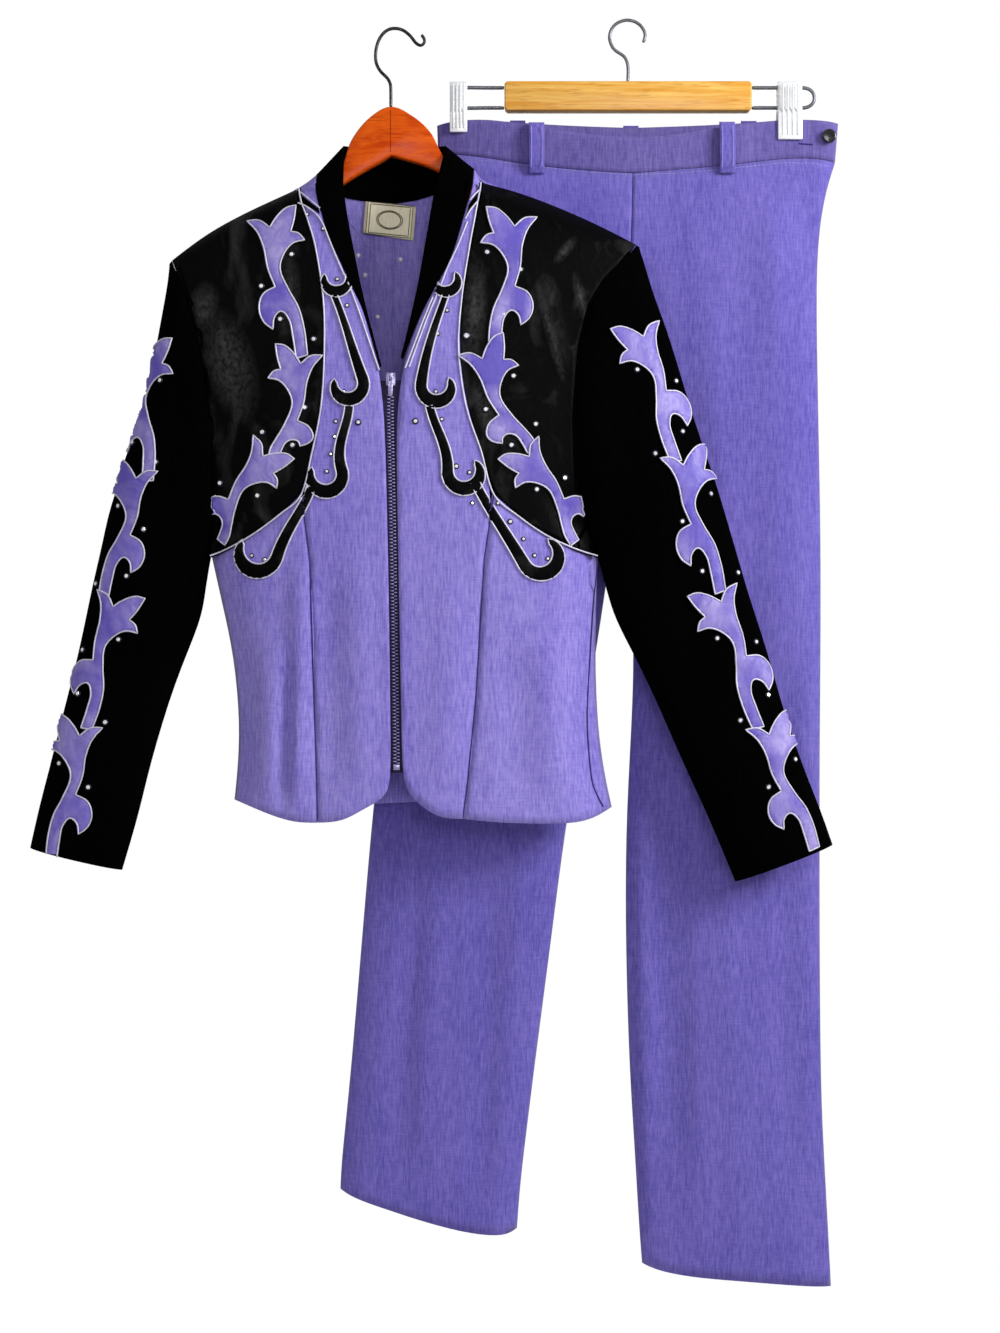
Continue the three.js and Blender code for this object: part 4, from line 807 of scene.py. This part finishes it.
SCROLLS = {
    "right": {
        "hook": ((352, 279), (339, 286), 12.4, 10, -200, 0, (6.5, 11.0, 4.6)),
        "upper": ((337, 302), (351, 390), 14.6, 20, -208, 2.0, (6.4, 13.0, 5.4)),
        "middle": ((352, 411), (329, 479), 15.8, 18, -215, 1.5, (8.2, 13.4, 5.6)),
        "lower": ((315, 490), (261, 553), 19.2, -18, -188, 3.0, (8.6, 14.0, 5.8)),
    },
    "left": {
        "hook": ((436, 293), (447, 287), 11.8, 190, 196, 0, (6.5, 11.0, 4.6)),
        "upper": ((447, 301), (438, 392), 14.8, 172, 210, -2.0, (6.4, 13.0, 5.4)),
        "middle": ((431, 411), (465, 476), 15.8, 178, 217, -1.5, (8.2, 13.4, 5.6)),
        "lower": ((475, 485), (540, 557), 17.8, 210, 204, -2.5, (8.6, 13.8, 5.8)),
    },
}
for side in SIDES:
    leather, cords = bmesh.new(), []
    for name, shape in SCROLLS[side].items():
        outline = scroll_outline(*shape)
        cut_leather(leather, outline, chest, 0.3 * MM, pitch=3.0 * MM, puff=0.9 * MM)
        cords.append([laid(chest, p, 1.3 * MM) for p in outline])
    piece = painted(from_bm(f"scrolls_{side}", leather, LEATHER_THICK), "leather_black",
                    replaces=[f"scroll_{name}_{side}" for name in SCROLLS[side]])
    cord = painted(cord_along(f"scroll_cord_{side}", cords, CORD_RADIUS, True), "leather_purple", SILVER_CORD)
    sewn_on["centre", side] += [piece, cord]
    print("scrolls", side, len(piece.data.polygons))

# %% [markdown]
# ## Piped seams
# The yokes, the shoulder wedges and the collar's edge are outlined with the same silver cord, couched
# over the seam. Each is an open line, smoothed through a few places and dropped on the cloth.


# %% Silver cord along the seams
def open_line(places, step=2.0 * MM):
    spots = [square(*p) for p in places]
    line = []
    for i in range(len(spots) - 1):
        before, start = spots[max(i - 1, 0)], spots[i]
        end, after = spots[i + 1], spots[min(i + 2, len(spots) - 1)]
        pieces = max(1, round((end - start).length / step))
        for k in range(pieces):
            t = k / pieces
            line.append(0.5 * ((2 * start) + (end - before) * t + (2 * before - 5 * start + 4 * end - after)
                               * t * t + (3 * start - before - 3 * end + after) * t ** 3))
    return line + [spots[-1]]


def spans(points, step):
    """Places in millimetres, joined by straight runs and cut every step."""
    line = []
    for (x0, z0), (x1, z1) in zip(points, points[1:]):
        count = max(1, round(math.hypot(x1 - x0, z1 - z0) / step))
        line += [((x0 + (x1 - x0) * k / count) * MM, (z0 + (z1 - z0) * k / count) * MM) for k in range(count)]
    return line + [(points[-1][0] * MM, points[-1][1] * MM)]


PRINCESS = {
    "right": [(-85, -444), (-77, -504), (-75, -580), (-73, -656), (-71, -712), (-70, -750)],
    "left": [(95, -444), (86, -504), (82, -570), (78, -636), (71, -708), (66, -746)],
}
PIPING = {
    "right": [
        [(300.7, 193), (301.4, 197), (303.8, 208), (310.8, 227), (319, 256), (326.5, 306), (327.6, 355),
         (324.5, 410), (315, 458.5), (304.4, 498), (284.4, 516), (258, 535), (236, 547), (212, 556.5)],
        [(297.5, 192.5), (306, 200), (317, 210), (322.5, 215)],
        [(300.5, 208.6), (306, 211), (314.5, 217), (321.5, 224), (327, 234), (334.5, 253), (344, 275.5),
         (352.5, 294), (361, 316), (369.5, 341), (381.5, 376)],
    ],
    "left": [
        [(481.0, 188), (480.4, 195), (478.4, 206), (475, 226), (469.8, 255), (462.4, 304.6), (459.3, 355),
         (466.5, 410), (481.4, 455), (494, 497.5), (518, 518.5), (544.6, 536.5), (572, 549), (597, 556.5)],
        [(470.5, 207), (474.5, 201.5), (480.5, 195)],
        [(466, 226), (471, 217), (478, 208)],
        [(468, 229), (459, 252), (448, 276), (440, 297), (430, 321), (421, 345), (411, 373)],
        [(434, 304), (425, 326), (416, 350), (407, 374)],
    ],
}


def proud_line(cloth, line, lift):
    """The line on whichever panel stands in front, evened out where it crosses from one to another."""
    fronts = []
    for x, z in line:
        fronts.append(min(laid(cloth, (x + dx * MM, z + dz * MM), 0.0).y
                          for dx, dz in ((0, 0), (1.3, 0), (-1.3, 0), (0, 1.3), (0, -1.3))))
    ahead = [min(fronts[max(0, i - 1):i + 2]) for i in range(len(fronts))]
    even = [sum(ahead[max(0, i - 2):i + 3]) / len(ahead[max(0, i - 2):i + 3]) for i in range(len(ahead))]
    return [Vector((place[0], depth - lift, place[1])) for place, depth in zip(line, even)]


for side in SIDES:
    lines = [proud_line(chest, open_line(places), 0.7 * MM) for places in PIPING[side]]
    piping = painted(cord_along(f"piping_{side}", lines, CORD_RADIUS, False), "leather_purple", SILVER_CORD)
    sewn_on["yoke", side].append(piping)
    lines = [proud_line(chest, open_line(PIPING[side][0]), -2.2 * MM)]
    roll = painted(cord_along(f"yoke_seam_roll_{side}", lines, 1.9 * MM, False), "cloth_black")
    sewn_on["yoke", side].append(roll)
    princess = [Vector(place) * MM for place in PRINCESS[side]]
    steps = [a.lerp(b, k / 12) for a, b in zip(princess, princess[1:]) for k in range(12)] + [princess[-1]]
    # A thin dark cord sunk in each princess seam is painted shadow of its groove; a rolled strip of suiting closes the
    # seam behind it.
    groove_shadow = painted(cord_along(f"princess_groove_{side}", [proud_line(chest, steps, -0.35 * MM)], 0.55 * MM, False),
                     "suiting_jacket", PAINTED_SHADOW_CORD)
    seam = painted(cord_along(f"princess_roll_{side}", [proud_line(chest, steps, -2.1 * MM)], 1.7 * MM, False),
                   "suiting_jacket")
    sewn_on["side", side] += [groove_shadow, seam]
# The side seam at the wearer's left is marked by a thin dark cord of painted groove shadow.
SIDE_GROOVE = [(597, 562), (594, 596), (591.4, 633), (587.2, 708), (588.6, 750), (592.8, 784), (603, 806)]
wrap_line = proud_line(chest, open_line(SIDE_GROOVE), -0.25 * MM)
sewn_on["side", "left"].append(painted(cord_along("side_groove_shadow", [wrap_line], 0.6 * MM, False), "suiting_jacket",
                                       PAINTED_SHADOW_CORD))
WEDGES = {
    "right": [(298.5, 196.5), (304, 200.5), (313, 208.5), (321.5, 216), (323, 221), (314, 214.8), (306, 209.3),
              (300.8, 207.3)],
    "left": [(471, 209), (475, 203.5), (479.5, 198.5), (478, 206), (471.5, 214.5), (467.5, 221), (469, 213)],
}
for side in SIDES:
    wedge = bmesh.new()
    cut_leather(wedge, [square(*p) for p in WEDGES[side]], chest, 0.1 * MM, puff=0.2 * MM)
    sewn_on["centre", side].append(painted(from_bm(f"shoulder_wedge_{side}", wedge, 0.6 * MM), "cloth_black"))
COLLAR_SEAM = {
    "right": [(-71.5, -151), (-70.8, -158), (-69.4, -166), (-66.4, -177)],
    "left": [(73.2, -147), (71.4, -154), (69.4, -162), (66, -174)],
}
for side in SIDES:
    seam = proud_line(chest, spans(COLLAR_SEAM[side], 3), -1.7 * MM)
    roll = painted(cord_along(f"collar_seam_roll_{side}", [seam], 1.6 * MM, False), "cloth_black")
    sewn_on["centre", side].append(roll)
print("piping laid")

# %% [markdown]
# ## Stones
# The small bright stones are flat-backed and faceted. One is an eight-sided cone with its point cut
# off; the same cut is used at two sizes and turned to face out from the cloth.

# %% Set the stones
LEATHER_STONES = {
    "right": [(295, 261), (265, 292), (284, 325), (317, 345), (279, 382), (308, 412), (266, 436), (296, 449),
              (223, 485), (261, 498)],
    "left": [(487, 259), (520, 276), (503, 320), (467, 342), (513, 381), (486, 414), (535, 428), (511, 449),
             (564, 480), (536, 492)],
}
CLOTH_STONES = {
    "right": [(310, 221), (326, 236), (340, 286), (350, 312), (348, 342), (355, 362), (359, 384), (347, 397),
              (339, 426), (361, 427), (338, 441), (334, 458), (330, 475), (302, 509), (291, 530), (280, 546),
              (268, 561), (255, 557)],
    "left": [(417, 426), (441, 283), (448, 317), (439, 340), (431, 361), (428, 380), (437, 397), (443, 424),
             (446, 441), (447, 456), (457, 470), (470, 476), (473, 506), (498, 506), (510, 524), (523, 541),
             (534, 557), (547, 560)],
}
SLEEVE_STONES = {
    "right": [(163.7, 383), (135.6, 444), (160.6, 465), (121.3, 507), (147.6, 530.7), (130.2, 577), (97.8, 584),
              (84.6, 650), (121.8, 639.6), (80.7, 693.5), (108.7, 721.8), (62, 762.7), (92, 786)],
    "left": [(635, 374), (674.5, 383), (680.4, 433.8), (652.4, 456.8), (709, 495), (680, 523), (700, 572),
             (736.8, 573), (715, 638.5), (754.7, 642), (766.3, 694.7), (738, 720), (793.7, 759), (766, 786)],
}
BRIGHT = {(361, 427): 1.35, (417, 426): 1.35, (467, 342): 1.25, (457, 470): 1.2, (510, 524): 1.2}


def set_stones(name, spots, cloth, radius, outward=0, sink=0.1 * MM):
    bm, claws = bmesh.new(), bmesh.new()
    for spot in spots:
        place = laid(cloth, square(*spot), -sink, outward)
        out = (laid(cloth, square(*spot), 5 * MM, outward) - place).normalized()
        size = radius * BRIGHT.get(spot, 1.0)
        turned = Matrix.Translation(place + out * size * 0.3) @ out.to_track_quat("Z", "Y").to_matrix().to_4x4()
        tipped = turned @ Matrix.Rotation(math.radians(9 * math.sin(31 * spot[0])), 4, "X") @ Matrix.Rotation(
            math.radians(9 * math.sin(17 * spot[1])), 4, "Y")
        bmesh.ops.create_cone(bm, cap_ends=True, segments=8, radius1=size * 0.98, radius2=size * 0.5,
                              depth=size * 0.7, matrix=tipped)
        bmesh.ops.create_cone(claws, cap_ends=True, segments=12, radius1=size * 1.12, radius2=size * 0.96,
                              depth=size * 0.36, matrix=turned)
    piece = painted(from_bm(name, bm), "chrome", STONE)
    for face in piece.data.polygons:
        face.use_smooth = False
    return [piece, painted(from_bm(f"{name}_claws", claws), "zip_metal", CLAW)]


for side in SIDES:
    sewn_on["yoke", side] += set_stones(f"yoke_stones_{side}", LEATHER_STONES[side], chest, 3.1 * MM)
    sewn_on["centre", side] += set_stones(f"front_stones_{side}", CLOTH_STONES[side], chest, 2.1 * MM)
    sewn_on["sleeve", side] += set_stones(f"sleeve_stones_{side}", SLEEVE_STONES[side], sleeves[side], 3.0 * MM,
                                          -1 if side == "right" else 1)
print("stones set")

# %% [markdown]
# ## The inside of the neck
# Through the open neck one sees the inside of the back: its centre seam, the rolled seam where the
# collar is set on, a line of stitching with a few stones, and the sewn-in label. The label is plain,
# with a woven border and an empty oval. The armhole seams get the same rolled cloth.

# %% Seams, stones and label inside
back_cloth = surface_of([jacket["back", "both"]])


def inside(x, z, lift):
    """A place on the inner face of the back, seen through the neck."""
    hit, _, _, _ = back_cloth.ray_cast(Vector((x, 1 * MM, z)), Vector((0, 1, 0)))
    if hit is None:
        hit = back_cloth.find_nearest(Vector((x, 12 * MM, z)))[0]
    return hit + Vector((0, -lift, 0))


NECK_SEAM = [(-70, -144), (-60, -149), (-44, -154), (-22, -157), (-2, -158), (20, -155), (42, -149), (62, -141),
             (72, -138)]
neck_lines = [[inside(x, z - 1.5 * MM, 0.8 * MM) + Vector((0, 0, rise * MM)) for x, z in spans(NECK_SEAM, 4)]
              for rise in (1.5, 4.5)]
neck_roll = painted(cord_along("neck_seam_roll", neck_lines, 2.1 * MM, False), "cloth_black")
centre_line = [inside(-2 * MM, z, 0.2 * MM) for _, z in spans([(-2, -160), (-2, -733)], 6)]
seam_roll = painted(cord_along("back_seam_roll", [centre_line], 1.1 * MM, False), "suiting_jacket")

ARMHOLES = {
    "right": [(-212, -220), (-209, -225), (-205, -233), (-199, -248), (-189, -274), (-180, -314), (-173, -361),
              (-169, -408), (-170, -456), (-173, -498)],
    "left": [(231, -205), (227, -209), (222, -216), (214, -226), (198, -242), (184, -266), (175, -304),
             (170, -370), (172, -437), (193, -498)],
}
for side in SIDES:
    seam = [laid(chest, place, -0.5 * MM) for place in spans(ARMHOLES[side], 4)]
    roll = painted(cord_along(f"armhole_roll_{side}", [seam], 1.5 * MM, False), "cloth_black")
    sewn_on["sleeve", side].append(roll)

INNER_CURVE = [(347, 216), (356, 226), (362, 235), (371, 248), (377, 260), (380, 269), (381, 276), (380, 286),
               (377, 294), (371, 303)]


def stitches(name, line, place, length, gap, radius, material, slot):
    """Short separate stitches along a line of flat places."""
    lines, run, start = [], 0.0, None
    for a, b in zip(line, line[1:]):
        steps = max(1, round((Vector(b) - Vector(a)).length / (0.5 * MM)))
        for k in range(steps):
            spot = Vector(a).lerp(Vector(b), k / steps)
            phase = run % (length + gap)
            if phase < length and start is None:
                start = spot
            elif phase >= length and start is not None:
                lines.append([place(start), place(start.lerp(spot, 0.5)), place(spot)])
                start = None
            run += (Vector(b) - Vector(a)).length / steps
    return painted(cord_along(name, lines, radius, False, resolution=0), slot, material)


inner_stitch = stitches("inner_stitching", open_line(INNER_CURVE), lambda p: inside(p.x, p.y, 0.4 * MM),
                        3 * MM, 1 * MM, 0.35 * MM, THREAD, "suiting_jacket")
inner_stones = bmesh.new()
for spot in [(399, 254), (363, 270), (376, 312), (356, 250)]:
    x, z = square(*spot)
    faced = Matrix.Translation(inside(x, z, 0.8 * MM)) @ Matrix.Rotation(math.radians(90), 4, "X")
    bmesh.ops.create_cone(inner_stones, cap_ends=True, segments=8, radius1=2.4 * MM, radius2=1.2 * MM,
                          depth=1.4 * MM, matrix=faced)
inner_stones = painted(from_bm("inner_stones", inner_stones), "chrome", STONE)
for face in inner_stones.data.polygons:
    face.use_smooth = False

label = cloth_piece("label_cloth", ["neck_label"], "label")
label_low, label_high = (Vector(corner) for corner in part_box("neck_label"))
label_middle = (label_low + label_high) / 2
TILT = Matrix.Rotation(math.radians(5), 4, "Y")
tilt = Matrix.Translation(label_middle) @ TILT @ Matrix.Translation(-label_middle)
label.data.transform(tilt)
label_face = surface_of([label])
label_half = (label_high - label_low) / 2


def on_label(x, z, lift):
    hit, _, _, _ = label_face.ray_cast(Vector((x, -5 * MM, z)), Vector((0, 1, 0)))
    return (hit or label_face.find_nearest(Vector((x, label_low.y, z)))[0]) + Vector((0, -lift, 0))


def label_ring(share, round_share, count):
    """A closed line round the label: 0 gives a rectangle, 1 an oval."""
    places = []
    for k in range(count):
        angle = 2 * math.pi * k / count
        u, v = math.cos(angle), math.sin(angle)
        stretch = (1 - round_share) / max(abs(u), abs(v)) + round_share
        flat = Vector((u * stretch * share * label_half.x, 0, v * stretch * share * label_half.z))
        turned = TILT @ flat
        places.append(on_label(label_middle.x + turned.x, label_middle.z + turned.z, 0.15 * MM))
    return places


LABEL_THREAD = finish("label_thread", weave, {
    "Dark": tone(60, 48, 30), "Base": tone(92, 78, 52), "Light": tone(120, 104, 74), "Heather": 0.4},
    0.3, 0.0003, Roughness=0.8)
label_rings = [label_ring(0.88, 0, 48), label_ring(0.78, 0, 48), label_ring(0.5, 1, 40), label_ring(0.44, 1, 40)]
label_border = painted(cord_along("label_border", label_rings, 0.45 * MM, True, resolution=0), "label", LABEL_THREAD)
print("inside of the neck done")

# %% [markdown]
# ## The zip
# A moulded zip is two cloth tapes with teeth along their edges. Each tooth here is one small bevelled
# block, repeated down both tapes half a pitch apart. The slider, its swinging pull and the bottom stop
# are copies of the solids with their sharp edges rounded off.


# %% Round off hard pieces
def hard_piece(name, nodes, slot, width, segments=2, body="suit", angle=32):
    bm = copied(nodes)
    bmesh.ops.dissolve_limit(bm, angle_limit=math.radians(2), verts=bm.verts, edges=bm.edges)
    piece = from_bm(name, bm)
    edge = piece.modifiers.new("soft_edge", "BEVEL")
    edge.width = width
    edge.segments = segments
    edge.limit_method = "ANGLE"
    edge.angle_limit = math.radians(angle)
    edge.use_clamp_overlap = True
    settled(piece)
    painted(piece, slot, body=body, replaces=nodes)
    piece.data.set_sharp_from_angle(angle=math.radians(40))
    return piece


slider = hard_piece("slider", ["zip_slider"], "zip_metal", 0.35 * MM)
pull = hard_piece("pull", ["zip_pull"], "zip_metal", 0.25 * MM, body="pull_tab")
stop = hard_piece("bottom_stop", ["zip_bottom_stop"], "zip_metal", 0.5 * MM)
tapes = {side: cloth_piece(f"tape_{side}", [f"zip_tape_{side}"], "zip_tape", levels=2) for side in SIDES}
tape_face = surface_of(list(tapes.values()))
ZIP_LINE = [(-1.65, -352), (-1.65, -370), (0.0, -446), (1.65, -542), (3.5, -665), (3.9, -700)]
PITCH = 3.2
teeth = bmesh.new()
for count, (x, z) in enumerate(spans(ZIP_LINE, PITCH / 2)):
    lean = 1 if count % 2 else -1
    spot = laid(tape_face, (x + lean * 3.2 * MM, z), 0.0)
    block = Matrix.Translation((x + lean * 1.6 * MM, spot.y - 0.7 * MM, z)) @ Matrix.Diagonal(
        (3.0 * MM, 1.6 * MM, 1.2 * MM, 1))
    bmesh.ops.create_cube(teeth, size=1.0, matrix=block)
bmesh.ops.bevel(teeth, geom=[e for e in teeth.edges if abs(e.verts[0].co.z - e.verts[1].co.z) < 0.1 * MM
                             and abs(e.verts[0].co.x - e.verts[1].co.x) > 1 * MM],
                offset=0.3 * MM, segments=1, affect="EDGES", profile=0.5, material=-1)
TOOTH = finish("zip_teeth", marks, {
    "Base": tone(150, 140, 190), "Dulled": tone(104, 94, 150), "Low": 0.3, "High": 0.5}, 0.2, 0.0002, Metallic=0.2)
teeth = painted(from_bm("teeth", teeth), "zip_metal", TOOTH)
print("teeth faces", len(teeth.data.polygons))

# %% [markdown]
# ## Stitching
# Top stitching holds the waistband's seam flat. A stitch is a short thread with its ends in
# the cloth, so each line is a row of separate short pieces.

# %% Rows of stitches
band_face = surface_of([band, *legs.values()])
BAND_STITCH = [(59, -112), (104, -117), (144, -122.3), (186, -127), (228, -130), (268, -128.3), (308, -125),
               (342, -120.5), (374, -116.2), (400, -116.5), (422, -119)]
band_row = stitches("waistband_stitching", spans(BAND_STITCH, 8), lambda p: laid(band_face, p, 0.05 * MM),
                    2.6 * MM, 1.2 * MM, 0.28 * MM, THREAD, "suiting_trousers")

# %% [markdown]
# ## Waistband, loops and button
# Five loops stand on the waistband, and a dark button closes it at the wearer's left.

# %% Loops and button
loops = [cloth_piece(f"loop_{place}", [f"belt_loop_{place}"], "suiting_trousers")
         for place in ("front_right", "front_left", "back_right", "back_centre", "back_left")]
button = hard_piece("button", ["waist_button"], "button", 1.1 * MM, segments=3)
button_low, button_high = (Vector(corner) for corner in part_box("waist_button"))
button_middle = (button_low + button_high) / 2
button_threads = [[Vector((button_middle.x + dx * MM, button_low.y - 0.05 * MM, button_middle.z + dz * MM))
                   for dx in (-1.8, 0, 1.8)] for dz in (-1.1, 1.1)]
button_sewing = painted(cord_along("button_thread", button_threads, 0.4 * MM, False), "button")
BUTTONHOLE = [(391, -97.5), (404, -98.5)]
hole_line = [laid(band_face, (x * MM, z * MM), 0.1 * MM) for x, z in BUTTONHOLE]
loop_rows = []
for loop, place in zip(loops, ("front_right", "front_left", "back_right", "back_centre", "back_left")):
    low, high = (Vector(corner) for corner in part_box(f"belt_loop_{place}"))
    outer = low.y - 0.1 * MM if "front" in place else high.y + 0.1 * MM
    for share in (0.16, 0.84):
        x = low.x + (high.x - low.x) * share
        loop_rows.append([Vector((x, outer, low.z + (high.z - low.z) * t)) for t in (0.1, 0.35, 0.65, 0.9)])
loop_stitching = painted(cord_along("loop_stitching", loop_rows, 0.3 * MM, False, resolution=0),
                         "suiting_trousers", THREAD)
# The buttonhole is a short dark cord of painted shadow.
buttonhole = painted(cord_along("buttonhole", [hole_line], 0.7 * MM, False), "suiting_trousers", PAINTED_SHADOW_CORD)

# %% [markdown]
# ## The two hangers
# The jacket's hanger is a flat shaped board with rounded edges and a wire hook; the trousers' hanger is
# a wooden bar on sliding wire loops with a moulded clip at each end.

# %% Hangers
BOARD = [(-3, -73.6), (17, -82), (34, -97), (46, -119), (57, -132), (72, -147), (84, -152.5), (115, -160.5),
         (153, -175), (190, -192), (202, -201), (200, -209), (186, -210), (150, -197), (112, -182), (78, -166),
         (44, -136), (-2, -120, 1), (-48, -147), (-82, -174), (-115, -191), (-146, -206), (-172, -221),
         (-184, -224), (-187, -216), (-176, -201.5), (-146, -184), (-116, -170), (-90, -159), (-72, -149),
         (-58, -138), (-49.5, -129), (-40, -105), (-23, -84)]
board_low, board_high = (Vector(corner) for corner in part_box("jacket_hanger_wood"))
board_line = flowing([(x * MM, z * MM, *sharp) for x, z, *sharp in BOARD], step=4 * MM)
board = bmesh.new()
ring = [board.verts.new((p.x, board_low.y, p.y)) for p in board_line]
rim = [board.edges.new((ring[i - 1], ring[i])) for i in range(len(ring))]
front = bmesh.ops.triangle_fill(board, use_beauty=True, edges=rim)["geom"]
pushed = bmesh.ops.extrude_face_region(board, geom=[g for g in front if isinstance(g, bmesh.types.BMFace)])["geom"]
bmesh.ops.translate(board, verts=[g for g in pushed if isinstance(g, bmesh.types.BMVert)],
                    vec=(0, board_high.y - board_low.y, 0))
print("board open edges", sum(e.is_boundary for e in board.edges))
bmesh.ops.recalc_face_normals(board, faces=board.faces)
bmesh.ops.dissolve_limit(board, angle_limit=math.radians(1), verts=board.verts, edges=board.edges)
wood = from_bm("shoulder_board", board)
round_edge = wood.modifiers.new("round_edge", "BEVEL")
round_edge.width = 1.8 * MM
round_edge.segments = 3
round_edge.limit_method = "ANGLE"
round_edge.angle_limit = math.radians(60)
settled(wood)
painted(wood, "wood_cherry", replaces=["jacket_hanger_wood"])
wood.data.set_sharp_from_angle(angle=math.radians(40))
MITRE = finish("mitre_shadow", timber, {
    "Dark": tone(90, 20, 2), "Base": tone(132, 38, 4), "Light": tone(150, 50, 6),
    "Stretch": (30, 160, 160)}, 0.1, 0.0004, Specular_IOR_Level=0.02)
mitre_line = [[Vector((-3 * MM, board_low.y, z * MM)) for z in (-77, -90, -103, -117)]]
mitre = painted(cord_along("mitre", mitre_line, 0.3 * MM, False, resolution=1), "wood_cherry", MITRE)
bar = hard_piece("clip_bar", ["trouser_hanger_bar"], "wood_honey", 1.6 * MM, segments=3)


def wire_piece(name, node, slot, radius):
    bm = copied([node])
    bmesh.ops.join_triangles(bm, faces=bm.faces, angle_face_threshold=0.7, angle_shape_threshold=3.1)
    piece = from_bm(name, bm)
    rounding = piece.modifiers.new("rounding", "SUBSURF")
    rounding.levels = rounding.render_levels = 2
    settled(piece)
    for vertex in piece.data.vertices:
        vertex.co += vertex.normal * radius * 0.1
    return painted(piece, slot, replaces=[node])


wires = [wire_piece("coat_hook", "jacket_hanger_hook", "wire_dark", 1.7 * MM),
         wire_piece("bar_hook", "trouser_hanger_hook", "chrome", 1.7 * MM),
         wire_piece("rods_right", "rod_loop_right", "chrome", 1.9 * MM),
         wire_piece("rods_left", "rod_loop_left", "chrome", 1.9 * MM)]
for side in SIDES:
    clip = hard_piece(f"clip_{side}", [f"trouser_clip_{side}"], "clip_plastic", 0.9 * MM)
    low, high = (Vector(corner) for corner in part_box(f"trouser_clip_{side}"))
    ribs = bmesh.new()
    for k in range(4):
        spot = Vector((low.x + (high.x - low.x) * (0.2 + 0.2 * k), low.y, (low.z + high.z) / 2))
        block = Matrix.Translation(spot) @ Matrix.Diagonal((1.8 * MM, 1.0 * MM, (high.z - low.z) * 0.86, 1))
        bmesh.ops.create_cube(ribs, size=1.0, matrix=block)
    bmesh.ops.bevel(ribs, geom=ribs.edges[:], offset=0.3 * MM, segments=1, affect="EDGES", profile=0.5, material=-1)
    painted(from_bm(f"clip_ribs_{side}", ribs), "clip_plastic")
print("hangers done")

# %% [markdown]
# ## The solids' own finishes
# Every solid in the frame is given the finish that its slot in the record names,
# where there is such a finish.

for node_name, node in frame["nodes"].items():
    row = [s for s in frame["record"]["subparts"] if s["node"] == node_name]
    if row and row[0]["material_slot"] in LOOKS:
        node.data.materials.clear()
        node.data.materials.append(LOOKS[row[0]["material_slot"]])
